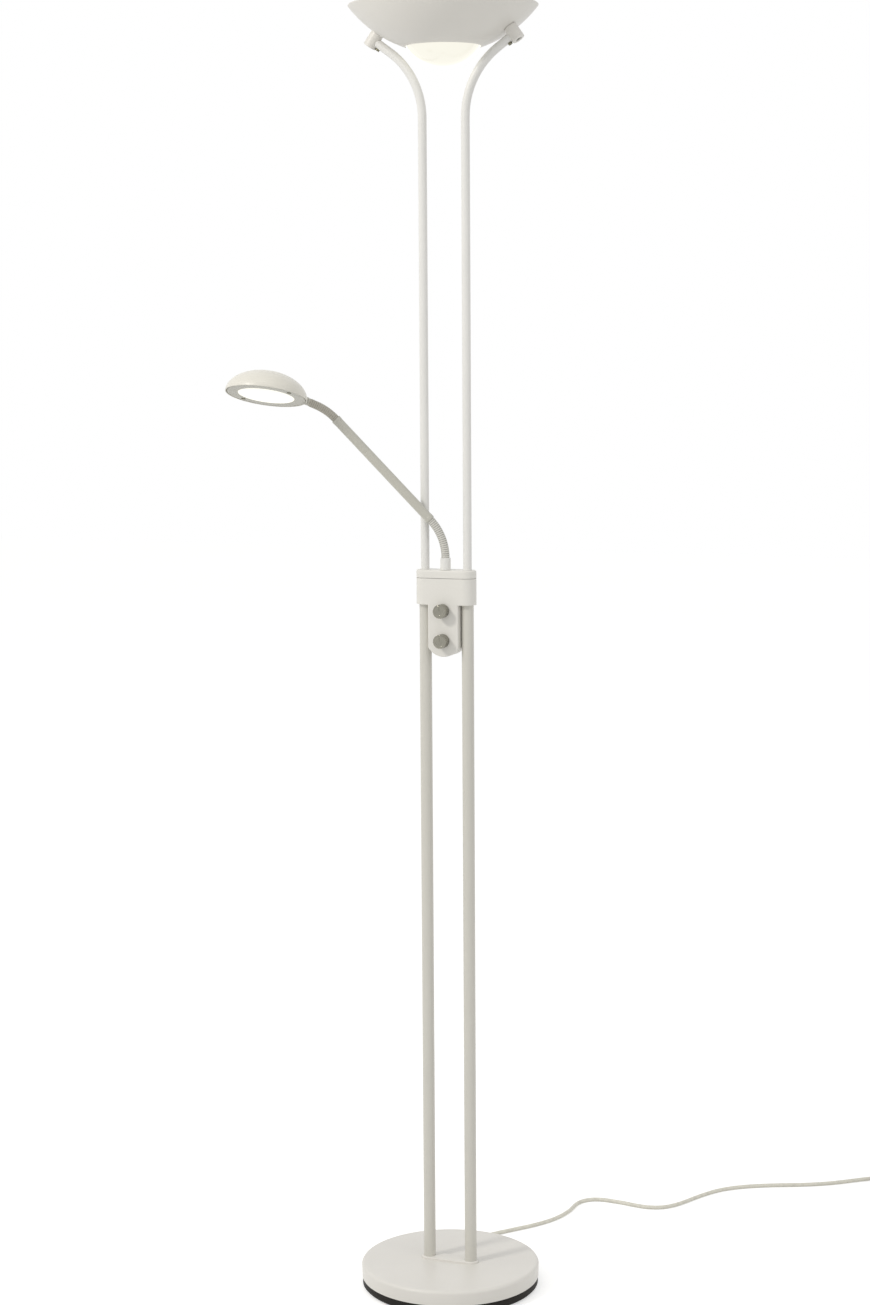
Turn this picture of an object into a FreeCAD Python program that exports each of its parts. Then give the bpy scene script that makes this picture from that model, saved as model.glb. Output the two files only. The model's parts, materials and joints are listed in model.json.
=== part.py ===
import FreeCAD, Part
import math
import os
import re

import Sketcher
from FreeCAD import Placement, Rotation, Vector

# Torchiere floor lamp with a reading light, in millimetres, +Z up.
# The origin is the centre of the base on the floor. The two masts stand at +X and -X, and the
# control box faces -Y. The reading arm has a frame of its own: X outwards along the arm,
# Z up, with the arm's swivel axis at X = 0. The head has one along its dome's axis.

SIZES = {
    # whole lamp
    "lamp_height": 1800,
    "running_gap": 0.05,
    "loose_gap": 0.3,
    "thread_end": 0.7,
    # base
    "base_radius": 127.5,
    "base_bottom": 14,
    "base_hollow": 14.5,
    "base_edge_round": 5,
    "base_draft": 0.9,
    "cover_wall": 1.5,
    "foot_inset": 0.6,
    "tray_gap": 1.1,
    "tray_wall": 2,
    "tray_top": 18,
    "tray_bevel": 3,
    "felt_inset": 6,
    "felt_thickness": 1.5,
    "weight_gap": 5,
    "weight_thickness": 16,
    "weight_groove": 10,
    "driver_length": 100,
    "driver_width": 42,
    "driver_thickness": 12,
    "driver_round": 3,
    "plate_thickness": 3,
    "plate_radius": 11.8,
    # masts
    "mast_offset": 31.3,
    "lower_tube_radius": 8.5,
    "upper_tube_radius": 6,
    "tube_wall": 1,
    "mast_bend": 110,
    "stud_radius": 5,
    "stud_bore": 3,
    "stud_grip": 25,
    "mast_nut_width": 17,
    "mast_nut_height": 6,
    "spacer_radius": 9,
    "coupler_flange": 6,
    "coupler_grip": 25,
    # control box
    "box_top": 1032,
    "lid_height": 11.4,
    "box_band": 36.6,
    "box_side_room": 5,
    "box_end_inset": 3.3,
    "box_wall": 2,
    "box_seam_gap": 0.6,
    "lid_thickness": 2.4,
    "lid_round": 2.2,
    "lid_lip": 4,
    "lid_lip_wall": 1.2,
    "tongue_side_gap": 0.5,
    "tongue_length": 72.7,
    "tongue_crown": 12.5,
    "tongue_round": 1.6,
    "bridge_drop": 26,
    "bridge_thickness": 4,
    "boss_radius": 2.8,
    "boss_rise": 10,
    "screw_radius": 1.5,
    "screw_length": 12.5,
    "screw_head_radius": 2.8,
    "screw_head_height": 1.4,
    "main_knob_drop": 8,
    "reading_knob_rise": 12.7,
    "knob_radius": 9.8,
    "knob_length": 14,
    "knob_end": 3,
    "knob_stand_off": 0.8,
    "knob_round": 1.4,
    "flute_radius": 0.65,
    "flute_count": 24,
    "shaft_radius": 3,
    "bushing_wall": 0.5,
    "bushing_length": 7.2,
    "dimmer_radius": 8.2,
    "dimmer_depth": 9,
    "dimmer_nut_width": 10,
    "dimmer_nut_height": 2.2,
    "board_thickness": 1.6,
    "board_width": 36,
    "board_gap": 2.2,
    # bowl
    "bowl_rim": 130,
    "bowl_foot": 53.6,
    "bowl_depth": 55,
    "bowl_wall": 1.6,
    "bowl_lip": 2.4,
    "bowl_lip_height": 3,
    "lens_depth": 28,
    "lens_wall": 2,
    "lens_flange": 5.6,
    "carrier_overhang": 5.4,
    "carrier_thickness": 3,
    "carrier_land": 5,
    "carrier_screw_inset": 4.8,
    "lamp_sink_gap": 2.5,
    "lamp_sink_height": 9,
    "lamp_sink_plate": 3,
    "down_board_inset": 3,
    "up_board_inset": 2,
    "cup_gap": 1.5,
    "cup_wall": 2,
    "cup_side": 17,
    "cup_crown": 6,
    "fitting_lean": 35.7,
    "fitting_radius": 9.2,
    "fitting_length": 21,
    "fitting_joint": 11.2,
    "spigot_length": 9,
    "bolt_radius": 2.5,
    "bolt_head_radius": 4.3,
    "bolt_head_height": 5,
    "bolt_recess": 6,
    "bowl_nut_width": 8,
    "bowl_nut_height": 4,
    "grub_radius": 2.1,
    "grub_head_radius": 3,
    "grub_head_height": 2.4,
    # reading arm
    "arm_azimuth": 20.25,
    "arm_forward": 3,
    "ferrule_wall": 1.9,
    "ferrule_length": 17,
    "pivot_radius": 5,
    "pivot_bore": 2.6,
    "bush_radius": 6.6,
    "bush_flange": 9.5,
    "pivot_nut_width": 14,
    "pivot_nut_height": 4.5,
    "neck_core": 5.3,
    "rib_height": 0.5,
    "neck_bore": 3.2,
    "neck_plug": 11.6,
    "neck_fit": 0.2,
    "lower_neck_bend": 77.9,
    "lower_neck_turn": 42.8,
    "lower_neck_ribs": 20,
    "upper_neck_bend": 80,
    "upper_neck_turn": 23,
    "upper_neck_ribs": 14,
    "arm_tube_wall": 1,
    "arm_tube_length": 191,
    "collar_rise": 0.3,
    "arm_collar_length": 5,
    "arm_seam": 129,
    "arm_seam_depth": 0.3,
    "edge_break": 0.5,
    # reading head
    "nipple_radius": 2.6,
    "nipple_bore": 1.8,
    "nipple_flange": 1.5,
    "head_boss_radius": 5.6,
    "head_boss_show": 2.9,
    "head_boss_length": 10,
    "head_nut_width": 8,
    "head_nut_height": 3,
    "head_radius": 56.8,
    "head_height": 34,
    "head_wall": 1.4,
    "head_lean": 7.6,
    "head_tip": 15,
    "neck_above_rim": 4.2,
    "neck_entry_turn": 15,
    "ring_gap": 1.2,
    "ring_width": 15,
    "ring_recess": 0.5,
    "ring_thickness": 1.2,
    "ring_screw_inset": 7,
    "ring_screw_angle": -46,
    "diffuser_bulge": 1.6,
    "diffuser_wall": 0.8,
    "diffuser_flange": 1.2,
    "led_board_inset": 3.5,
    "led_board_level": 9,
    "head_sink_height": 9,
    "head_fins": 7,
    "head_fin_thickness": 1.4,
    # mains cord
    "cord_radius": 3,
    "cord_exit_x": -16,
    "cord_exit_level": 7.5,
    "relief_length": 30,
    "relief_root": 5,
    "relief_tip": 3.8,
    "coil_outer": 42,
    "coil_step": 6.6,
    "coil_lift": 4.2,
    "plug_relief_length": 22,
    "plug_width": 35,
    "plug_thickness": 13.7,
    "plug_length": 36,
    "plug_round": 2.5,
    "pin_radius": 2,
    "pin_length": 19,
    "pin_spacing": 18,
    "tie_width": 6,
    "tie_thickness": 0.8,
}

# Sizes that follow from the ones above.
FOLLOWING = {
    "base_top": "felt_thickness + tray_wall + weight_thickness + base_hollow + cover_wall",
    "foot_radius": "base_radius - base_draft - foot_inset",
    "tray_radius": "base_radius - base_draft - cover_wall - tray_gap",
    "felt_radius": "tray_radius - felt_inset",
    "weight_radius": "tray_radius - tray_wall - weight_gap",
    "driver_forward": "weight_radius * 0.547",
    "box_end_radius": "lower_tube_radius + box_wall + box_side_room",
    "box_half_spacing": "mast_offset - box_end_inset",
    "box_seam": "box_top - lid_height",
    "box_shoulder": "box_seam - box_band",
    "tongue_bottom": "box_shoulder - tongue_length",
    "tongue_corner": "tongue_bottom + tongue_crown",
    "bridge_bottom": "box_top - bridge_drop",
    "lower_tube_top": "bridge_bottom - coupler_flange",
    "upper_boss_level": "box_shoulder + boss_rise",
    "lower_boss_level": "tongue_bottom + boss_rise",
    "main_knob_level": "box_shoulder - main_knob_drop",
    "reading_knob_level": "lower_boss_level + reading_knob_rise",
    "bushing_radius": "shaft_radius + bushing_wall",
    "board_bottom": "lower_boss_level + boss_radius + board_gap",
    "board_height": "upper_boss_level - boss_radius - board_gap - board_bottom",
    "bowl_bottom": "lamp_height - bowl_depth",
    "bowl_rise": "(bowl_rim^2 - bowl_foot^2 - bowl_depth^2) / (2 * bowl_depth)",
    "bowl_centre": "lamp_height + bowl_rise",
    "bowl_radius": "sqrt(bowl_rim^2 + bowl_rise^2)",
    "carrier_radius": "bowl_foot + carrier_overhang",
    "carrier_screw_circle": "carrier_radius - carrier_screw_inset",
    "cup_radius": "carrier_screw_circle - screw_head_radius * 0.8 - cup_gap",
    "lamp_sink_radius": "cup_radius - cup_wall - lamp_sink_gap",
    "down_board_radius": "lamp_sink_radius - down_board_inset",
    "up_board_radius": "lamp_sink_radius - up_board_inset",
    "carrier_window": "down_board_radius - carrier_land",
    "pivot_bottom": "bridge_bottom - loose_gap - pivot_nut_height - thread_end",
    "neck_socket": "neck_core + running_gap * 2",
    "ferrule_radius": "neck_socket + ferrule_wall",
    "neck_rib": "neck_core + rib_height",
    "arm_tube_bore": "neck_core + neck_fit",
    "arm_tube_radius": "arm_tube_bore + arm_tube_wall",
    "arm_collar_radius": "arm_tube_radius + collar_rise",
    "nipple_show": "head_boss_show + loose_gap + nipple_flange",
    "ring_radius": "head_radius - head_wall - ring_gap",
    "ring_window": "ring_radius - ring_width",
    "ring_screw_circle": "ring_radius - ring_screw_inset",
    "led_board_radius": "ring_window - led_board_inset",
}

doc = FreeCAD.newDocument("floor_lamp")
sheet = doc.addObject("Spreadsheet::Sheet", "dims")
cells = {alias: str(value) for alias, value in SIZES.items()}
cells.update({alias: "=" + formula for alias, formula in FOLLOWING.items()})
for row, (alias, content) in enumerate(cells.items(), 1):
    sheet.set(f"A{row}", alias)
    sheet.setAlias(f"B{row}", alias)
    sheet.set(f"B{row}", content)
doc.recompute()

UP = Vector(0, 0, 1)
FRONT = Vector(0, -1, 0)
BACK = Vector(0, 1, 0)
finished = []


# ---------------------------------------------------------------- helpers


def bound(expression):
    """The expression with each size's name turned into its cell in the sheet."""
    return re.sub(r"[a-z_]+", lambda m: "dims." + m[0] if m[0] in cells else m[0], str(expression))


def number(expression):
    """The value of an expression now."""
    return float(sheet.evalExpression(bound(expression)))


def point(x, y, z):
    return Vector(number(x), number(y), number(z))


def bind(thing, name, expression):
    thing.setExpression(name, bound(expression))


def facing(at, along=UP):
    """A placement whose Z runs along a direction."""
    return Placement(at, Rotation(UP, along))


def rod(name, radius, length, at, along=UP):
    """A round bar from a point along a direction."""
    bar = doc.addObject("Part::Cylinder", name)
    bind(bar, "Radius", radius)
    bind(bar, "Height", length)
    bar.Placement = facing(at, along)
    return bar


def cone(name, radius, end_radius, length, at, along=UP):
    """A tapered round bar."""
    bar = doc.addObject("Part::Cone", name)
    bind(bar, "Radius1", radius)
    bind(bar, "Radius2", end_radius)
    bind(bar, "Height", length)
    bar.Placement = facing(at, along)
    return bar


def hexagon(name, width, height, at, along=UP):
    """A hexagonal bar, width across its flats."""
    bar = doc.addObject("Part::Prism", name)
    bar.Polygon = 6
    bind(bar, "Circumradius", f"({width}) / 2 / cos(30)")
    bind(bar, "Height", height)
    bar.Placement = facing(at, along)
    return bar


def block(name, sides, low, frame=Placement()):
    """A box with its lowest corner at a point of a frame."""
    box = doc.addObject("Part::Box", name)
    for side, expression in zip(("Length", "Width", "Height"), sides):
        bind(box, side, expression)
    box.Placement = frame * Placement(low, Rotation())
    return box


def fuse(name, *parts):
    whole = doc.addObject("Part::MultiFuse", name)
    whole.Shapes = list(parts)
    return whole


def cut(name, base, *tools):
    result = doc.addObject("Part::Cut", name)
    result.Base = base
    result.Tool = tools[0] if len(tools) == 1 else fuse(name + "_tools", *tools)
    return result


def common(name, first, second):
    result = doc.addObject("Part::MultiCommon", name)
    result.Shapes = [first, second]
    return result


def group(name, parts):
    """Like pieces kept together as separate solids."""
    result = doc.addObject("Part::Compound", name)
    result.Links = list(parts)
    return result


def rounded(name, base, radius, chosen):
    """base with the edges that a test picks rounded."""
    doc.recompute()
    size = number(radius)
    edges = [i for i, edge in enumerate(base.Shape.Edges, 1) if chosen(edge)]
    result = doc.addObject("Part::Fillet", name)
    result.Base = base
    result.Edges = [(i, size, size) for i in edges]
    return result


def finish(node, thing):
    """Names a finished piece. Its label is the name of its file."""
    thing.Label = node
    finished.append(thing)
    return thing


def end_of(sketch, edge, spot):
    """Which end of a sketch edge, 1 or 2, lies at a spot."""
    return 1 if (sketch.getPoint(edge, 1) - spot).Length < 1e-6 else 2


def pin_down(sketch, geometry, end, spot):
    """Binds one sketch vertex to the two expressions of its place."""
    for kind, expression in zip(("DistanceX", "DistanceY"), spot):
        size = number(expression)
        index = sketch.addConstraint(Sketcher.Constraint(kind, -1, 1, geometry, end, size))
        bind(sketch, f"Constraints[{index}]", expression)


def draw(sketch, corners, through=None, closed=True):
    """Lines from corner to corner, each corner a pair of expressions.

    through names the edges that are arcs, by the corner that they start from, and gives
    a point on each.
    """
    through = through or {}
    spots = [Vector(number(x), number(y), 0) for x, y in corners]
    count = len(corners)
    edges = []
    for i in range(count if closed else count - 1):
        first, last = spots[i], spots[(i + 1) % count]
        if i in through:
            middle = Vector(number(through[i][0]), number(through[i][1]), 0)
            edges.append(sketch.addGeometry(Part.Arc(first, middle, last), False))
        else:
            edges.append(sketch.addGeometry(Part.LineSegment(first, last), False))
    for i, corner in enumerate(corners):
        edge = edges[min(i, len(edges) - 1)]
        if closed or 0 < i < count - 1:
            before = edges[i - 1]
            ends = (end_of(sketch, before, spots[i]), end_of(sketch, edge, spots[i]))
            sketch.addConstraint(
                Sketcher.Constraint("Coincident", before, ends[0], edge, ends[1])
            )
        pin_down(sketch, edge, end_of(sketch, edge, spots[i]), corner)
    for i, middle in through.items():
        mark = Vector(number(middle[0]), number(middle[1]), 0)
        dot = sketch.addGeometry(Part.Point(mark), True)
        sketch.addConstraint(Sketcher.Constraint("PointOnObject", dot, 1, edges[i]))
        pin_down(sketch, dot, 1, middle)


def new_sketch(body, name, role):
    """A sketch on one of the body's own origin planes."""
    sketch = body.newObject("Sketcher::SketchObject", name)
    plane = [o for o in body.Origin.OriginFeatures if o.Role == role][0]
    sketch.AttachmentSupport = (plane, [""])
    sketch.MapMode = "FlatFace"
    return sketch


def turned(name, corners, through=None, place=Placement()):
    """A body turned about its own Z: corners are (radius, height)."""
    body = doc.addObject("PartDesign::Body", name)
    sketch = new_sketch(body, name + "_profile", "XZ_Plane")
    draw(sketch, corners, through)
    turn = body.newObject("PartDesign::Revolution", name + "_turn")
    turn.Profile = sketch
    turn.ReferenceAxis = (sketch, ["V_Axis"])
    turn.Angle = 360
    body.Placement = place
    return body


def padded(name, role, corners, length, through=None, place=Placement()):
    """A body with one outline padded from its origin plane."""
    body = doc.addObject("PartDesign::Body", name)
    sketch = new_sketch(body, name + "_outline", role)
    draw(sketch, corners, through)
    pad = body.newObject("PartDesign::Pad", name + "_pad")
    pad.Profile = sketch
    bind(pad, "Length", length)
    body.Placement = place
    return body


def stadium(name, half_spacing, radius, length, bottom):
    """A bar with straight sides and half-round ends at +X and -X, standing at a height."""
    corners = [
        (f"-({half_spacing})", f"-({radius})"),
        (half_spacing, f"-({radius})"),
        (half_spacing, radius),
        (f"-({half_spacing})", radius),
    ]
    ends = {
        1: (f"({half_spacing}) + ({radius})", "0"),
        3: (f"-({half_spacing}) - ({radius})", "0"),
    }
    place = Placement(point("0", "0", bottom), Rotation())
    return padded(name, "XY_Plane", corners, length, ends, place)


def cap_rise(rim, depth):
    """How far a shallow dome rises from its crown to half of its rim's radius."""
    radius = f"((({rim})^2 + ({depth})^2) / (2 * ({depth})))"
    return f"({radius} - sqrt({radius}^2 - (({rim}) / 2)^2))"


def circle_wire(centre, across, normal, radius):
    """A circle whose seam is on the across side."""
    axes = Part.Circle(centre, normal, radius)
    axes.XAxis = across
    return Part.Wire([axes.toShape()])


def arc_edge(first, corner, last):
    """The arc that leaves first towards corner and reaches last from corner."""
    middle = (first + last) * 0.5
    half_chord = (last - first).Length / 2
    rise = corner - middle
    if rise.Length < 1e-9:
        return Part.LineSegment(first, last).toShape()
    lean = math.atan2(rise.Length, half_chord)
    top = middle + rise.normalize() * half_chord * math.tan(lean / 2)
    return Part.Arc(first, top, last).toShape()


# ---------------------------------------------------------------- base


def make_base():
    top_arc = "base_edge_round * (1 - cos(45))"
    inner = "base_edge_round - cover_wall"
    inner_arc = f"({inner}) * (1 - cos(45))"
    profile = [
        ("0", "base_top - cover_wall"),
        ("base_radius - base_edge_round", "base_top - cover_wall"),
        ("base_radius - cover_wall", "base_top - base_edge_round"),
        ("base_radius - base_draft - cover_wall", "base_bottom"),
        ("base_radius - base_draft", "base_bottom"),
        ("base_radius", "base_top - base_edge_round"),
        ("base_radius - base_edge_round", "base_top"),
        ("0", "base_top"),
    ]
    rounds = {
        1: (
            f"base_radius - cover_wall - ({inner_arc})",
            f"base_top - cover_wall - ({inner_arc})",
        ),
        5: (f"base_radius - ({top_arc})", f"base_top - ({top_arc})"),
    }
    dome = turned("cover_shell", profile, rounds)
    sides = (-1, 1)
    holes = [
        rod(
            f"cover_hole_{side + 2}",
            "stud_radius + loose_gap",
            "base_top",
            point(f"{side} * mast_offset", "0", "0"),
        )
        for side in sides
    ]
    finish("base_cover", cut("cover", dome, *holes))

    floor = "felt_thickness"
    ledge = "base_bottom - loose_gap"
    profile = [
        ("0", floor),
        ("foot_radius - tray_bevel", floor),
        ("foot_radius", f"{floor} + tray_bevel"),
        ("foot_radius", ledge),
        ("tray_radius", ledge),
        ("tray_radius", "tray_top"),
        ("tray_radius - tray_wall", "tray_top"),
        ("tray_radius - tray_wall", f"{floor} + tray_wall"),
        ("0", f"{floor} + tray_wall"),
    ]
    gland = rod(
        "gland_hole",
        "relief_tip",
        "foot_radius",
        point("cord_exit_x", "0", "cord_exit_level"),
        BACK,
    )
    finish("base_tray", cut("tray", turned("tray_shell", profile), gland))

    finish("base_felt", rod("felt", "felt_radius", "felt_thickness", point("0", "0", "0")))

    weight_bottom = "felt_thickness + tray_wall"
    disc = rod(
        "weight_disc", "weight_radius", "weight_thickness", point("0", "0", weight_bottom)
    )
    recess = "mast_nut_height + 3"
    slot_start = "weight_radius / 3"
    tools = [
        block(
            "weight_slot",
            ("weight_groove", "weight_radius", "weight_thickness - 4"),
            point("cord_exit_x - weight_groove / 2", slot_start, weight_bottom),
        ),
        rod(
            "weight_well",
            "weight_groove / 2",
            "weight_thickness",
            point("cord_exit_x", slot_start, weight_bottom),
        ),
    ]
    for side in sides:
        x = f"{side} * mast_offset"
        spot = point(x, "0", weight_bottom)
        clear = "stud_radius + loose_gap"
        tools.append(rod(f"weight_bore_{side + 2}", clear, "weight_thickness", spot))
        tools.append(rod(f"weight_recess_{side + 2}", "mast_nut_width * 0.7", recess, spot))
    finish("base_weight", cut("weight", disc, *tools))

    weight_top = f"{weight_bottom} + weight_thickness"
    case = block(
        "driver_block",
        ("driver_length", "driver_width", "driver_thickness"),
        point(
            "-driver_length / 2",
            "-driver_forward - driver_width / 2",
            f"{weight_top} + loose_gap",
        ),
    )

    def upright(edge):
        return abs(edge.tangentAt(edge.FirstParameter).z) > 0.9

    finish("led_driver", rounded("driver", case, "driver_round", upright))

    studs, nuts, spacers = [], [], []
    for side in sides:
        x = f"{side} * mast_offset"
        nut_bottom = f"{weight_bottom} + {recess} - mast_nut_height"
        profile = [
            ("stud_bore", f"{nut_bottom} - 1"),
            ("stud_radius", f"{nut_bottom} - 1"),
            ("stud_radius", "base_top"),
            ("lower_tube_radius - tube_wall - running_gap", "base_top"),
            ("lower_tube_radius - tube_wall - running_gap", "base_top + stud_grip"),
            ("stud_bore", "base_top + stud_grip"),
        ]
        place = Placement(point(x, "0", "0"), Rotation())
        studs.append(turned(f"stud_{side + 2}", profile, place=place))
        nut = hexagon(
            f"nut_{side + 2}", "mast_nut_width", "mast_nut_height", point(x, "0", nut_bottom)
        )
        thread = rod(
            f"nut_thread_{side + 2}",
            "stud_radius + running_gap",
            "mast_nut_height",
            point(x, "0", nut_bottom),
        )
        nuts.append(cut(f"mast_nut_{side + 2}", nut, thread))
        height = f"base_top - cover_wall - ({weight_top}) - running_gap"
        spot = point(x, "0", weight_top)
        sleeve = rod(f"sleeve_{side + 2}", "spacer_radius", height, spot)
        bore = rod(f"sleeve_bore_{side + 2}", "stud_radius + loose_gap", height, spot)
        spacers.append(cut(f"spacer_{side + 2}", sleeve, bore))
    finish("mast_studs", group("studs", studs))
    finish("mast_nuts", group("nuts", nuts))
    finish("mast_spacers", group("spacers", spacers))

    plate = stadium("plate_bar", "mast_offset", "plate_radius", "plate_thickness", "base_top")
    holes = [
        rod(
            f"plate_hole_{side + 2}",
            "lower_tube_radius + running_gap",
            "plate_thickness",
            point(f"{side} * mast_offset", "0", "base_top"),
        )
        for side in sides
    ]
    crisp = cut("plate_cut", plate, *holes)
    level = number("base_top + plate_thickness")
    reach = number("mast_offset")

    def outer_top(edge):
        box = edge.BoundBox
        wide = box.XMax - box.XMin > reach or abs(abs(box.Center.x) - reach) > 1
        return abs(box.ZMin - level) < 1e-6 and abs(box.ZMax - level) < 1e-6 and wide

    finish("foot_plate", rounded("plate", crisp, "plate_thickness * 0.5", outer_top))


# ---------------------------------------------------------------- masts


def make_masts():
    couplers = []
    for side, word in ((-1, "left"), (1, "right")):
        x = f"{side} * mast_offset"
        length = "lower_tube_top - base_top"
        foot = point(x, "0", "base_top")
        outside = rod(f"lower_bar_{word}", "lower_tube_radius", length, foot)
        inside = rod(f"lower_bore_{word}", "lower_tube_radius - tube_wall", length, foot)
        finish(f"lower_tube_{word}", cut(f"lower_tube_{word}_cut", outside, inside))

        shoulder = "lower_tube_top + coupler_flange"
        seat = "bridge_bottom + bridge_thickness"
        plug = "lower_tube_radius - tube_wall - running_gap"
        spigot = "upper_tube_radius - tube_wall - running_gap"
        profile = [
            ("stud_bore", "lower_tube_top - coupler_grip"),
            (plug, "lower_tube_top - coupler_grip"),
            (plug, "lower_tube_top"),
            ("lower_tube_radius", "lower_tube_top"),
            ("lower_tube_radius", shoulder),
            (spigot, shoulder),
            (spigot, f"{seat} + coupler_grip"),
            ("stud_bore", f"{seat} + coupler_grip"),
        ]
        place = Placement(point(x, "0", "0"), Rotation())
        couplers.append(turned(f"coupler_{word}", profile, place=place))
        finish(f"upper_tube_{word}", upper_tube(side, word, seat))
    finish("tube_couplers", group("couplers", couplers))


def fitting_spot(side, out):
    """A point on a bowl fitting's axis, out from the bowl's skin."""
    reach = f"(bowl_radius + {out})"
    return point(
        f"{side} * {reach} * sin(fitting_lean)", "0", f"bowl_centre - {reach} * cos(fitting_lean)"
    )


def fitting_axis(side):
    """The bowl's outward normal at a fitting."""
    return point(f"{side} * sin(fitting_lean)", "0", "-cos(fitting_lean)")


def upper_tube(side, word, seat):
    """Up from the control box, bent outwards, then straight to the side of its fitting."""
    joint_x = "(bowl_radius + fitting_joint) * sin(fitting_lean)"
    joint_z = "bowl_centre - (bowl_radius + fitting_joint) * cos(fitting_lean)"
    bend_x = "mast_offset + mast_bend * (1 - sin(fitting_lean))"
    bend_z = f"{joint_z} - ({joint_x} - ({bend_x})) * tan(fitting_lean)"
    start_z = f"{bend_z} - mast_bend * cos(fitting_lean)"
    half_x = "mast_offset + mast_bend * (1 - cos(45 - fitting_lean / 2))"
    half_z = f"{start_z} + mast_bend * sin(45 - fitting_lean / 2)"
    body = doc.addObject("PartDesign::Body", f"upper_bar_{word}")
    spine = new_sketch(body, f"upper_spine_{word}", "XZ_Plane")
    route = [
        (f"{side} * mast_offset", "0"),
        (f"{side} * mast_offset", f"{start_z} - ({seat})"),
        (f"{side} * ({bend_x})", f"{bend_z} - ({seat})"),
        (f"{side} * {joint_x}", f"{joint_z} - ({seat})"),
    ]
    draw(spine, route, {1: (f"{side} * ({half_x})", f"{half_z} - ({seat})")}, closed=False)
    section = new_sketch(body, f"upper_section_{word}", "XY_Plane")
    for radius in ("upper_tube_radius", "upper_tube_radius - tube_wall"):
        centre = Vector(number(f"{side} * mast_offset"), 0, 0)
        ring = section.addGeometry(Part.Circle(centre, UP, number(radius)), False)
        pin_down(section, ring, 3, (f"{side} * mast_offset", "0"))
        index = section.addConstraint(Sketcher.Constraint("Radius", ring, number(radius)))
        bind(section, f"Constraints[{index}]", radius)
    pipe = body.newObject("PartDesign::AdditivePipe", f"upper_pipe_{word}")
    pipe.Profile = section
    pipe.Spine = (spine, [])
    body.Placement = Placement(point("0", "0", seat), Rotation())
    saddle = rod(
        f"upper_saddle_{word}",
        "fitting_radius",
        "fitting_length",
        fitting_spot(side, "loose_gap"),
        fitting_axis(side),
    )
    grub_way = rod(
        f"upper_grub_hole_{word}",
        "grub_radius + running_gap",
        "upper_tube_radius + edge_break",
        grub_foot(side),
        fitting_axis(side),
    )
    return cut(f"upper_tube_{word}_cut", body, saddle, grub_way)


# ---------------------------------------------------------------- control box


def tongue(name, gap, front, back):
    """The tongue's outline, drawn in by a gap all round, between two depths."""
    half = f"(mast_offset - lower_tube_radius - tongue_side_gap - ({gap}))"
    corners = [
        (f"-{half}", f"tongue_corner + ({gap}) / 2"),
        (half, f"tongue_corner + ({gap}) / 2"),
        (half, "box_seam - box_wall - lid_lip"),
        (f"-{half}", "box_seam - box_wall - lid_lip"),
    ]
    bottom = {0: ("0", f"tongue_bottom + ({gap})")}
    place = Placement(point("0", back, "0"), Rotation())
    return padded(name, "XZ_Plane", corners, f"({back}) - ({front})", bottom, place)


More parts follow.
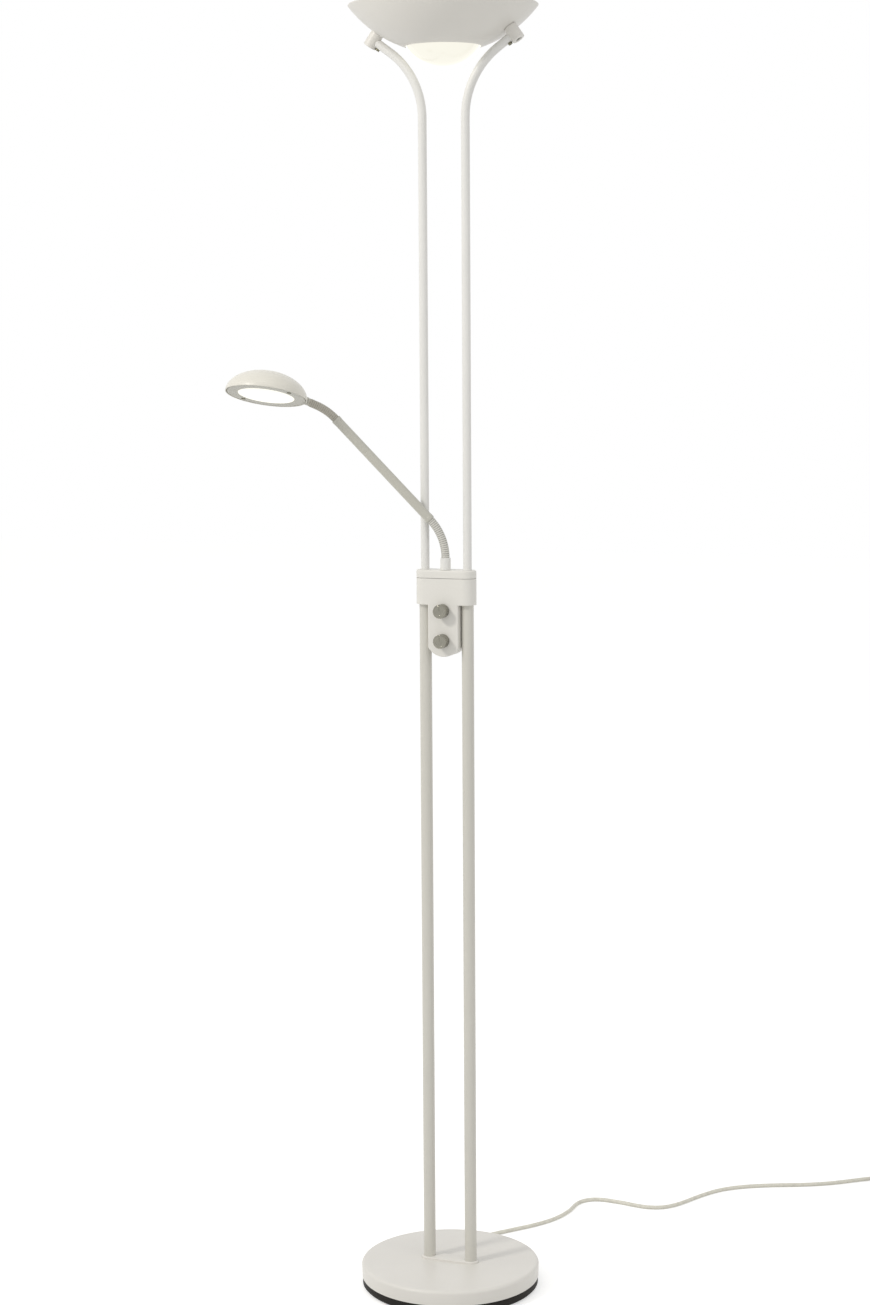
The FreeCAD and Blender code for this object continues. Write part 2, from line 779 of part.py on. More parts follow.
def make_box():
    front = "-box_end_radius"
    inside = "-box_end_radius + box_wall"
    wide = stadium(
        "box_wide", "box_half_spacing", "box_end_radius", "box_seam - box_shoulder", "box_shoulder"
    )
    outer = fuse("box_outer", wide, tongue("box_tongue", "0", front, "box_end_radius"))
    hollow = stadium(
        "box_hollow",
        "box_half_spacing",
        "box_end_radius - box_wall",
        "box_seam - box_shoulder",
        "box_shoulder + box_wall",
    )
    hollow_tongue = tongue("box_hollow_tongue", "box_wall", inside, "box_end_radius + 1")
    bosses, boss_bores = [], []
    for word, level in (("upper", "upper_boss_level"), ("lower", "lower_boss_level")):
        root = point("0", f"{inside} - box_wall / 2", level)
        length = "2 * box_end_radius - box_wall * 1.5 - loose_gap"
        bosses.append(rod(f"boss_{word}", "boss_radius", length, root, BACK))
        bore_start = point("0", "0", level)
        bore = "screw_radius + running_gap"
        boss_bores.append(rod(f"boss_bore_{word}", bore, "box_end_radius", bore_start, BACK))
    holes = []
    for side in (-1, 1):
        spot = point(f"{side} * mast_offset", "0", "box_shoulder - 1")
        clear = "lower_tube_radius + running_gap"
        holes.append(rod(f"box_tube_hole_{side + 2}", clear, "box_wall + 2", spot))
    for word in ("main", "reading"):
        spot = point("0", f"{front} - 1", f"{word}_knob_level")
        holes.append(
            rod(f"{word}_panel_hole", "bushing_radius + running_gap", "box_wall + 2", spot, BACK)
        )
    shell = cut("box_shell", outer, hollow, hollow_tongue)
    crisp = cut("box_crisp", fuse("box_with_bosses", shell, *bosses), *boss_bores, *holes)
    depth = number(front)
    shoulder = number("box_shoulder")
    knob_width = number("2 * knob_radius")

    def tongue_front(edge):
        box = edge.BoundBox
        level = abs(box.YMin - depth) < 1e-6 and abs(box.YMax - depth) < 1e-6
        return level and box.ZMax < shoulder + 1e-6 and box.DiagonalLength > knob_width

    finish("box_housing", rounded("box", crisp, "tongue_round", tongue_front))

    plate = tongue(
        "back_plate", "box_wall + loose_gap", "box_end_radius - box_wall", "box_end_radius"
    )
    screw_holes, screws = [], []
    for word, level in (("upper", "upper_boss_level"), ("lower", "lower_boss_level")):
        inner = point("0", "box_end_radius - box_wall - 1", level)
        screw_holes.append(
            rod(f"back_hole_{word}", "screw_radius + loose_gap", "box_wall + 2", inner, BACK)
        )
        tip = point("0", "box_end_radius - screw_length", level)
        shank = rod(f"screw_shank_{word}", "screw_radius", "screw_length", tip, BACK)
        head = cone(
            f"screw_head_{word}",
            "screw_head_radius",
            "screw_head_radius * 0.75",
            "screw_head_height",
            point("0", "box_end_radius", level),
            BACK,
        )
        slot = block(
            f"screw_slot_{word}",
            ("0.8", "1", "screw_head_radius * 2"),
            point(
                "-0.4", "box_end_radius + screw_head_height - 0.7", f"{level} - screw_head_radius"
            ),
        )
        screws.append(cut(f"box_screw_{word}", fuse(f"screw_bar_{word}", shank, head), slot))
    finish("box_back_cover", cut("back_cover", plate, *screw_holes))
    finish("box_screws", group("screws", screws))

    make_lid()
    make_bridge()
    make_dimmers(inside)


def make_lid():
    bottom = "box_seam + box_seam_gap"
    cap = stadium("lid_cap", "box_half_spacing", "box_end_radius", f"box_top - ({bottom})", bottom)
    level = number("box_top")

    def top_edge(edge):
        return abs(edge.BoundBox.ZMin - level) < 1e-6 and abs(edge.BoundBox.ZMax - level) < 1e-6

    soft = rounded("lid_soft", cap, "lid_round", top_edge)
    lip_radius = "box_end_radius - box_wall - loose_gap"
    lip_height = f"lid_lip + {bottom} - box_seam"
    lip_bottom = "box_seam - lid_lip"
    lip = stadium("lid_lip_bar", "box_half_spacing", lip_radius, lip_height, lip_bottom)
    hollow = stadium(
        "lid_hollow",
        "box_half_spacing",
        f"{lip_radius} - lid_lip_wall",
        "box_top - lid_thickness - box_seam + lid_lip",
        lip_bottom,
    )
    holes = [
        rod(
            f"lid_hole_{side + 2}",
            "upper_tube_radius + loose_gap",
            "lid_thickness + 2",
            point(f"{side} * mast_offset", "0", "box_top - lid_thickness - 1"),
        )
        for side in (-1, 1)
    ]
    spot = point("0", "-arm_forward", "box_top - lid_thickness - 1")
    holes.append(rod("lid_bush_hole", "bush_radius + loose_gap", "lid_thickness + 2", spot))
    finish("box_lid", cut("lid", fuse("lid_bar", soft, lip), hollow, *holes))


def make_bridge():
    plate = stadium(
        "bridge_bar",
        "box_half_spacing",
        "box_end_radius - box_wall - loose_gap * 2",
        "bridge_thickness",
        "bridge_bottom",
    )
    holes = [
        rod(
            f"bridge_hole_{side + 2}",
            "upper_tube_radius - tube_wall",
            "bridge_thickness",
            point(f"{side} * mast_offset", "0", "bridge_bottom"),
        )
        for side in (-1, 1)
    ]
    spot = point("0", "-arm_forward", "bridge_bottom")
    holes.append(rod("bridge_bush_hole", "bush_radius + running_gap", "bridge_thickness", spot))
    finish("mast_bridge", cut("bridge", plate, *holes))

    seat = "bridge_bottom + bridge_thickness"
    profile = [
        ("pivot_radius + running_gap", "bridge_bottom"),
        ("bush_radius", "bridge_bottom"),
        ("bush_radius", seat),
        ("bush_flange", seat),
        ("bush_flange", f"{seat} + 2"),
        ("bush_radius", f"{seat} + 2"),
        ("bush_radius", "box_top"),
        ("pivot_radius + running_gap", "box_top"),
    ]
    place = Placement(point("0", "-arm_forward", "0"), Rotation())
    finish("swivel_bush", turned("bush", profile, place=place))


def make_dimmers(inside):
    nuts = []
    behind = f"{inside} + running_gap"
    panel = "-box_end_radius - running_gap"
    for word in ("main", "reading"):
        level = f"{word}_knob_level"
        back = f"{behind} + dimmer_depth"
        can = rod(f"{word}_can", "dimmer_radius", "dimmer_depth", point("0", back, level), FRONT)
        neck = rod(
            f"{word}_neck",
            "bushing_radius",
            "bushing_length + dimmer_depth",
            point("0", back, level),
            FRONT,
        )
        shaft_bore = rod(
            f"{word}_shaft_bore",
            "shaft_radius + running_gap",
            "bushing_length + 5",
            point("0", f"{behind} + 5", level),
            FRONT,
        )
        dimmer = cut(f"{word}_dimmer_cut", fuse(f"{word}_dimmer_bar", can, neck), shaft_bore)
        finish(f"{word}_dimmer", dimmer)

        nut = hexagon(
            f"{word}_hex", "dimmer_nut_width", "dimmer_nut_height", point("0", panel, level), FRONT
        )
        thread = rod(
            f"{word}_hex_thread",
            "bushing_radius + running_gap",
            "dimmer_nut_height",
            point("0", panel, level),
            FRONT,
        )
        nuts.append(cut(f"{word}_nut", nut, thread))

        knob_back = "-box_end_radius - knob_stand_off"
        finish(f"{word}_knob", knob(word, point("0", knob_back, level)))
        reach = f"{behind} + 4 - ({knob_back}) + knob_length - knob_end"
        start = point("0", f"{behind} + 4", level)
        finish(f"{word}_shaft", rod(f"{word}_shaft_bar", "shaft_radius", reach, start, FRONT))
    finish("dimmer_nuts", group("dimmer_nut_group", nuts))

    finish(
        "control_board",
        block(
            "board",
            ("board_width", "board_thickness", "board_height"),
            point("-board_width / 2", f"{behind} + dimmer_depth + running_gap", "board_bottom"),
        ),
    )


def knob(word, at):
    """A fluted knob with a recess over its nut, a blind bore for its shaft and a pointer groove."""
    arc = "knob_round * (1 - cos(45))"
    nut_room = "dimmer_nut_width / 2 / cos(30) + loose_gap"
    bore = "shaft_radius + running_gap"
    corners = [
        (bore, "bushing_length - box_wall"),
        (nut_room, "bushing_length - box_wall"),
        (nut_room, "0"),
        ("knob_radius", "0"),
        ("knob_radius", "knob_length - knob_round"),
        ("knob_radius - knob_round", "knob_length"),
        ("0", "knob_length"),
        ("0", "knob_length - knob_end + running_gap"),
        (bore, "knob_length - knob_end + running_gap"),
    ]
    body = turned(
        f"{word}_knob_body",
        corners,
        {4: (f"knob_radius - {arc}", f"knob_length - {arc}")},
        facing(at, FRONT),
    )
    flute = new_sketch(body, f"{word}_flute", "XY_Plane")
    ring = flute.addGeometry(
        Part.Circle(Vector(number("knob_radius"), 0, 0), UP, number("flute_radius")), False
    )
    pin_down(flute, ring, 3, ("knob_radius", "0"))
    index = flute.addConstraint(Sketcher.Constraint("Radius", ring, number("flute_radius")))
    bind(flute, f"Constraints[{index}]", "flute_radius")
    doc.recompute()
    groove = body.newObject("PartDesign::Pocket", f"{word}_flute_cut")
    groove.Profile = flute
    groove.Reversed = True
    bind(groove, "Length", "knob_length - knob_round * 1.5")
    doc.recompute()
    flutes = body.newObject("PartDesign::PolarPattern", f"{word}_flutes")
    flutes.Originals = [groove]
    flutes.Axis = (flute, ["N_Axis"])
    flutes.Angle = 360
    bind(flutes, "Occurrences", "flute_count")
    body.Tip = flutes
    pointer = block(
        f"{word}_pointer",
        ("1", "knob_radius", "1"),
        point("-0.5", "1.5", "knob_length - 0.5"),
        facing(at, FRONT),
    )
    return cut(f"{word}_knob_cut", body, pointer)


# ---------------------------------------------------------------- bowl


def bowl_edge(radius, height):
    return f"sqrt(({radius})^2 - (bowl_centre - ({height}))^2)"


def make_bowl():
    inner = "bowl_radius - bowl_wall"
    lip_top = "bowl_bottom + bowl_lip_height"
    opening = f"{bowl_edge('bowl_radius', 'bowl_bottom')} - bowl_lip"
    middle = "(bowl_bottom + lamp_height) / 2"
    inner_middle = f"({lip_top} + lamp_height) / 2"
    corners = [
        (opening, "bowl_bottom"),
        (bowl_edge("bowl_radius", "bowl_bottom"), "bowl_bottom"),
        (bowl_edge("bowl_radius", "lamp_height"), "lamp_height"),
        (bowl_edge(inner, "lamp_height"), "lamp_height"),
        (bowl_edge(inner, lip_top), lip_top),
        (opening, lip_top),
    ]
    arcs = {
        1: (bowl_edge("bowl_radius", middle), middle),
        3: (bowl_edge(inner, inner_middle), inner_middle),
    }
    shell = turned("bowl_body", corners, arcs)
    bolts, nuts, grubs, holes = [], [], [], []
    for side, word in ((-1, "left"), (1, "right")):
        make_fitting(side, word)
        bolts.append(fitting_bolt(side, word))
        grubs.append(grub_screw(side, word))
        axis = fitting_axis(side)
        inward = axis * -1
        seat = fitting_spot(side, "-bowl_wall - loose_gap")
        hexed = hexagon(f"bowl_hex_{word}", "bowl_nut_width", "bowl_nut_height", seat, inward)
        thread = "bolt_radius + running_gap"
        tapped = rod(f"bowl_tap_{word}", thread, "bowl_nut_height", seat, inward)
        nuts.append(cut(f"bowl_nut_{word}", hexed, tapped))
        inside = fitting_spot(side, "-bowl_wall * 2")
        holes.append(
            rod(f"bowl_hole_{word}", "bolt_radius + loose_gap", "bowl_wall * 3", inside, axis)
        )
    make_lamp_parts(opening, lip_top, holes)
    finish("bowl_shell", cut("bowl", shell, *holes))
    finish("bowl_bolts", group("bolts", bolts))
    finish("bowl_nuts", group("bowl_nut_group", nuts))
    finish("fitting_grub_screws", group("grubs", grubs))


def tube_way(side):
    """The direction in which an upper tube leaves its fitting."""
    return point(f"-{side} * cos(fitting_lean)", "0", "-sin(fitting_lean)")


def make_fitting(side, word):
    """A round fitting under the bowl, with a spigot that goes into the upper tube."""
    axis = fitting_axis(side)
    start = fitting_spot(side, "loose_gap")
    end = fitting_spot(side, "loose_gap + fitting_length")
    bar = rod(f"fitting_bar_{word}", "fitting_radius", "fitting_length", start, axis)
    spigot = rod(
        f"fitting_spigot_{word}",
        "upper_tube_radius - tube_wall - running_gap",
        "fitting_radius + spigot_length",
        fitting_spot(side, "fitting_joint"),
        tube_way(side),
    )
    well = rod(
        f"fitting_well_{word}", "bolt_head_radius + loose_gap", "bolt_recess", end, axis * -1
    )
    bore = rod(f"fitting_bore_{word}", "bolt_radius + loose_gap", "fitting_length", start, axis)
    thread = rod(
        f"grub_hole_{word}", "grub_radius + running_gap", "upper_tube_radius", grub_foot(side), axis
    )
    solid = fuse(f"fitting_solid_{word}", bar, spigot)
    crisp = cut(f"fitting_crisp_{word}", solid, well, bore, thread)
    size = number("fitting_radius")

    def rim(edge):
        curve = edge.Curve
        return (
            curve.TypeId == "Part::GeomCircle"
            and abs(curve.Radius - size) < 1e-6
            and (curve.Center - end).Length < 1e-6
        )

    finish(f"bowl_fitting_{word}", rounded(f"fitting_{word}", crisp, "edge_break * 2", rim))


def fitting_bolt(side, word):
    """The bolt through a fitting and the bowl, sunk into the fitting's end."""
    axis = fitting_axis(side)
    shank_end = "bowl_wall + loose_gap + bowl_nut_height + thread_end"
    head_seat = "loose_gap + fitting_length - bolt_recess + running_gap"
    shank = rod(
        f"bolt_shank_{word}",
        "bolt_radius",
        f"{shank_end} + {head_seat}",
        fitting_spot(side, f"-({shank_end})"),
        axis,
    )
    head = rod(
        f"bolt_head_{word}",
        "bolt_head_radius",
        "bolt_head_height",
        fitting_spot(side, head_seat),
        axis,
    )
    socket = hexagon(
        f"bolt_socket_{word}",
        "bolt_head_radius",
        "bolt_head_height",
        fitting_spot(side, f"{head_seat} + bolt_head_height / 2"),
        axis,
    )
    return cut(f"bolt_{word}", fuse(f"bolt_bar_{word}", shank, head), socket)


def grub_foot(side):
    """The middle of a spigot under its grub screw."""
    reach = number("fitting_radius + grub_head_radius + edge_break")
    return fitting_spot(side, "fitting_joint") + tube_way(side) * reach


def grub_screw(side, word):
    """A short screw through the upper tube's wall into the spigot."""
    axis = fitting_axis(side)
    foot = grub_foot(side) + axis * number("edge_break")
    top = grub_foot(side) + axis * number("upper_tube_radius + running_gap")
    length = "upper_tube_radius + grub_head_height / 2"
    shank = rod(f"grub_bar_{word}", "grub_radius", length, foot, axis)
    head = rod(f"grub_head_{word}", "grub_head_radius", "grub_head_height", top, axis)
    socket_foot = top + axis * number("grub_head_height / 2")
    socket = hexagon(
        f"grub_socket_{word}", "grub_head_radius * 0.8", "grub_head_height", socket_foot, axis
    )
    return cut(f"grub_{word}", fuse(f"grub_solid_{word}", shank, head), socket)


def make_lamp_parts(opening, lip_top, lip_holes):
    """The lens, the boards and the diffuser, held to the bowl's lip by three screws."""
    rim = f"({opening}) - loose_gap"
    seat = f"{lip_top} + running_gap"
    inner_rim = f"({rim}) - lens_wall"
    foot = "bowl_bottom - lens_depth"
    corners = [
        ("0", foot),
        (rim, "bowl_bottom"),
        (rim, seat),
        (f"({rim}) + lens_flange", seat),
        (f"({rim}) + lens_flange", f"{seat} + lens_wall"),
        (inner_rim, f"{seat} + lens_wall"),
        (inner_rim, "bowl_bottom"),
        ("0", f"{foot} + lens_wall"),
    ]
    outer_rise = cap_rise(rim, "lens_depth")
    inner_rise = cap_rise(inner_rim, "lens_depth - lens_wall")
    arcs = {
        0: (f"({rim}) / 2", f"{foot} + {outer_rise}"),
        6: (f"({inner_rim}) / 2", f"{foot} + lens_wall + {inner_rise}"),
    }
    lens = turned("lens", corners, arcs)

    carrier_bottom = f"{seat} + lens_wall + running_gap"
    seat_spot = point("0", "0", carrier_bottom)
    disc = rod("carrier_disc", "carrier_radius", "carrier_thickness", seat_spot)
    window = rod("carrier_hole", "carrier_window", "carrier_thickness", seat_spot)
    screws, screw_holes, lens_holes = [], [], []
    carrier_top = f"{carrier_bottom} + carrier_thickness"
    screw_foot = f"{lip_top} - bowl_lip_height / 2"
    through = f"{carrier_top} + running_gap * 2 - ({screw_foot})"
    for i in range(3):
        angle = f"{i} * 120 + 30"
        x, y = f"carrier_screw_circle * cos({angle})", f"carrier_screw_circle * sin({angle})"
        foot_spot = point(x, y, screw_foot)
        top_spot = point(x, y, f"{carrier_top} + running_gap")
        clear = "screw_radius + running_gap"
        screw_holes.append(rod(f"carrier_hole_{i}", clear, through, foot_spot))
        lens_holes.append(rod(f"lens_hole_{i}", clear, through, foot_spot))
        lip_holes.append(rod(f"lip_hole_{i}", clear, through, foot_spot))
        shank = rod(f"carrier_shank_{i}", "screw_radius", through, foot_spot)
        head = rod(
            f"carrier_head_{i}", "screw_head_radius * 0.8", "screw_head_height + 1", top_spot
        )
        screws.append(fuse(f"carrier_screw_{i}", shank, head))
    finish("downlight_lens", cut("lens_cut", lens, *lens_holes))
    finish("lamp_carrier", cut("carrier", disc, window, *screw_holes))
    finish("carrier_screws", group("carrier_screw_group", screws))

    level = f"{carrier_top} + running_gap"
    finish(
        "downlight_board",
        rod("down_board", "down_board_radius", "board_thickness", point("0", "0", level)),
    )
    sink_bottom = f"{level} + board_thickness + running_gap"
    crown_bottom = f"{sink_bottom} + lamp_sink_height - lamp_sink_plate"
    base = rod("lamp_sink_base", "lamp_sink_radius", "lamp_sink_plate", point("0", "0", sink_bottom))
    crown = rod(
        "lamp_sink_crown", "lamp_sink_radius", "lamp_sink_plate", point("0", "0", crown_bottom)
    )
    column = rod(
        "lamp_sink_column",
        "lamp_sink_radius * 0.75",
        "lamp_sink_height - lamp_sink_plate",
        point("0", "0", sink_bottom),
    )
    finish("lamp_heat_sink", fuse("lamp_sink", base, column, crown))
    board_bottom = f"{sink_bottom} + lamp_sink_height + running_gap"
    finish(
        "uplight_board",
        rod("up_board", "up_board_radius", "board_thickness", point("0", "0", board_bottom)),
    )

    side_top = f"{level} + cup_side"
    inner = "cup_radius - cup_wall"
    corners = [
        (inner, level),
        ("cup_radius", level),
        ("cup_radius", side_top),
        ("0", f"{side_top} + cup_crown"),
        ("0", f"{side_top} + cup_crown - cup_wall"),
        (inner, f"{side_top} - cup_wall"),
    ]
    outer_fall = cap_rise("cup_radius", "cup_crown")
    inner_fall = cap_rise(inner, "cup_crown")
    arcs = {
        2: ("cup_radius / 2", f"{side_top} + cup_crown - {outer_fall}"),
        4: (f"({inner}) / 2", f"{side_top} + cup_crown - cup_wall - {inner_fall}"),
    }
    finish("uplight_diffuser", turned("cup", corners, arcs))


# ---------------------------------------------------------------- reading arm


def arm_frame():
    """X outwards along the arm, Y towards the side it is seen from, Z up."""
    return Placement(point("0", "-arm_forward", "0"), Rotation(UP, number("180 + arm_azimuth")))


def arm_direction(rise):
    """A direction in the arm's plane, by its angle above level."""
    angle = math.radians(rise)
    return Vector(math.cos(angle), 0, math.sin(angle))


class Neck:
    """A flexible neck: straight end, arc, straight end, in the arm's plane."""

    def __init__(self, start, rise, bend, turn, ribs, first_end, last_end):
        self.start, self.rise, self.bend, self.turn = start, rise, bend, turn
        self.ribs, self.first_end, self.last_end = ribs, first_end, last_end
        self.end_rise = rise - turn
        self.end = self.on_arc(turn)

    def on_arc(self, turned_by):
        """The point on the arc after a part of its turn."""
        first, now = math.radians(self.rise), math.radians(self.rise - turned_by)
        out = self.bend * (math.sin(first) - math.sin(now))
        up = self.bend * (math.cos(now) - math.cos(first))
        return self.start + Vector(out, 0, up)

    def at(self, run):
        """Point and direction at a distance along the neck from the start of its arc."""
        arc_length = self.bend * math.radians(self.turn)
        if run <= 0:
            return self.start + arm_direction(self.rise) * run, arm_direction(self.rise)
        if run >= arc_length:
            heading = arm_direction(self.end_rise)
            return self.end + heading * (run - arc_length), heading
        turned_by = self.turn * run / arc_length
        return self.on_arc(turned_by), arm_direction(self.rise - turned_by)

    def shape(self, ribbed_to):
        """The ribs as a ruled loft through four circles each, with the bore taken out.

        The ribs reach from the start of the arc to a distance along the neck.
        """
        core, crest = number("neck_core"), number("neck_rib")
        arc_length = self.bend * math.radians(self.turn)
        pitch = ribbed_to / self.ribs
        stations = [(-self.first_end, core)]
        for i in range(self.ribs):
            for share, radius in ((0.1, core), (0.3, crest), (0.7, crest), (0.9, core)):
                stations.append(((i + share) * pitch, radius))
        stations.append((arc_length + self.last_end, core))
        level = Vector(0, 1, 0)
        wires = []
        for run, radius in stations:
            centre, heading = self.at(run)
            wires.append(circle_wire(centre, level, heading, radius))
        skin = Part.makeLoft(wires, True, True)
        first, heading = self.at(-self.first_end)
        last = self.at(arc_length + self.last_end)[0]
        path = Part.Wire(
            [
                Part.LineSegment(first, self.start).toShape(),
                Part.Arc(self.start, self.on_arc(self.turn / 2), self.end).toShape(),
                Part.LineSegment(self.end, last).toShape(),
            ]
        )
        bore = path.makePipe(Part.Face(circle_wire(first, level, heading, number("neck_bore"))))
        return skin.cut(bore)


def make_neck(name, neck, ribbed_to):
    piece = doc.addObject("Part::Feature", name)
    piece.Shape = neck.shape(ribbed_to)
    piece.Placement = arm_frame()
    return piece


def make_arm():
    frame = arm_frame()
    ferrule_top = "box_top + ferrule_length"
    shoulder = "box_top + loose_gap"
    profile = [
        ("pivot_bore", "pivot_bottom"),
        ("pivot_radius", "pivot_bottom"),
        ("pivot_radius", shoulder),
        ("ferrule_radius", shoulder),
        ("ferrule_radius", f"{ferrule_top} - edge_break * 1.5"),
        ("ferrule_radius - edge_break * 1.5", ferrule_top),
        ("neck_socket", ferrule_top),
        ("neck_socket", f"{ferrule_top} - neck_plug - loose_gap"),
        ("pivot_bore", f"{ferrule_top} - neck_plug - loose_gap"),
    ]
    finish("arm_ferrule", turned("ferrule", profile, place=frame))

    nut_spot = point("0", "-arm_forward", "bridge_bottom - loose_gap - pivot_nut_height")
    hexed = hexagon("pivot_hex", "pivot_nut_width", "pivot_nut_height", nut_spot)
    thread = rod("pivot_thread", "pivot_radius + running_gap", "pivot_nut_height", nut_spot)
    finish("arm_lock_nut", cut("pivot_nut", hexed, thread))

    plug = number("neck_plug")
    lower = Neck(
        Vector(0, 0, number(ferrule_top)),
        90,
        number("lower_neck_bend"),
        number("lower_neck_turn"),
        int(number("lower_neck_ribs")),
        plug,
        plug,
    )
    arc_length = lower.bend * math.radians(lower.turn)
    finish("lower_neck", make_neck("lower_neck_shape", lower, arc_length))

    collar, tube = "arm_collar_radius", "arm_tube_radius"
    seam = "arm_seam"
    slope = "arm_seam_depth * 1.3"
    profile = [
        ("arm_tube_bore", "0"),
        (f"{collar} - edge_break", "0"),
        (collar, "edge_break"),
        (collar, "arm_collar_length"),
        (tube, "arm_collar_length + collar_rise"),
        (tube, f"{seam} - {slope}"),
        (f"{tube} - arm_seam_depth", seam),
        (tube, f"{seam} + {slope}"),
        (tube, "arm_tube_length - arm_collar_length - collar_rise"),
        (collar, "arm_tube_length - arm_collar_length"),
        (collar, "arm_tube_length - edge_break"),
        (f"{collar} - edge_break", "arm_tube_length"),
        ("arm_tube_bore", "arm_tube_length"),
    ]
    along = arm_direction(lower.end_rise)
    place = frame * facing(lower.end, along)
    finish("arm_tube", turned("arm_bar", profile, place=place))

    upper = Neck(
        lower.end + along * number("arm_tube_length"),
        lower.end_rise,
        number("upper_neck_bend"),
        number("upper_neck_turn"),
        int(number("upper_neck_ribs")),
        plug,
        plug,
    )
    arc_length = upper.bend * math.radians(upper.turn)
    ribbed_to = arc_length + plug - number("nipple_flange")
    finish("upper_neck", make_neck("upper_neck_shape", upper, ribbed_to))
    return upper


# ---------------------------------------------------------------- reading head


def make_head(neck):
    frame = arm_frame()
    along = arm_direction(neck.end_rise)
    flange = neck.end + along * number("neck_plug")
    wall = flange + along * number("nipple_show")
    head_axis = frame.Rotation.multVec(along)

    nipple_end = "nipple_show + head_boss_length + loose_gap + head_nut_height"
    profile = [
        ("nipple_bore", "-neck_plug"),
        ("neck_bore - running_gap", "-neck_plug"),
        ("neck_bore - running_gap", "0"),
        ("neck_core", "0"),
        ("neck_core", "nipple_flange"),
        ("nipple_radius", "nipple_flange"),
        ("nipple_radius", nipple_end),
        ("nipple_bore", nipple_end),
    ]
    finish("neck_end_fitting", turned("nipple", profile, place=frame * facing(flange, along)))

    nut_at = frame.multVec(wall + along * number("head_boss_length + loose_gap"))
    hexed = hexagon("head_hex", "head_nut_width", "head_nut_height", nut_at, head_axis)
    thread = rod("head_thread", "nipple_radius + running_gap", "head_nut_height", nut_at, head_axis)
    finish("head_mount_nut", cut("head_nut", hexed, thread))

    inwards = "head_radius * sqrt(1 - (neck_above_rim / head_height)^2)"
    entry = point(
        f"-{inwards} * cos(neck_entry_turn)",
        f"-{inwards} * sin(neck_entry_turn)",
        "neck_above_rim",
    )
    leaning = Rotation(BACK, number("-head_lean"))
    tipped = leaning * Rotation(Vector(1, 0, 0), number("head_tip"))
    origin = wall - tipped.multVec(entry)
    dome = frame * Placement(origin, tipped)

    def egg(name, shrink):
        solid = doc.addObject("Part::Ellipsoid", name)
        bind(solid, "Radius1", f"head_height - {shrink}")
        bind(solid, "Radius2", f"head_radius - {shrink}")
        bind(solid, "Radius3", f"head_radius - {shrink}")
        solid.Angle1, solid.Angle2, solid.Angle3 = -90, 90, 360
        solid.Placement = dome
        return solid

    def below_rim(name, level):
        size = "head_radius * 4"
        corner = point("-head_radius * 2", "-head_radius * 2", f"{level} - head_radius * 4")
        return block(name, (size, size, size), corner, dome)

    inside = egg("dome_inner", "head_wall")
    shell = cut("dome_shell", egg("dome_outer", "0"), inside, below_rim("dome_below", "0"))
    start = frame.multVec(wall - along * number("head_boss_show"))
    length = "head_boss_show + head_boss_length"
    bar = rod("dome_boss_bar", "head_boss_radius", length, start, head_axis)
    above_ring = below_rim("dome_boss_below", "ring_recess + ring_thickness + running_gap")
    whole = fuse("dome_bar", shell, cut("dome_boss", bar, above_ring))
    bore = rod("dome_bore", "nipple_radius + running_gap", length, start, head_axis)
    finish("head_dome", cut("dome", whole, bore))

    make_head_inside(dome)


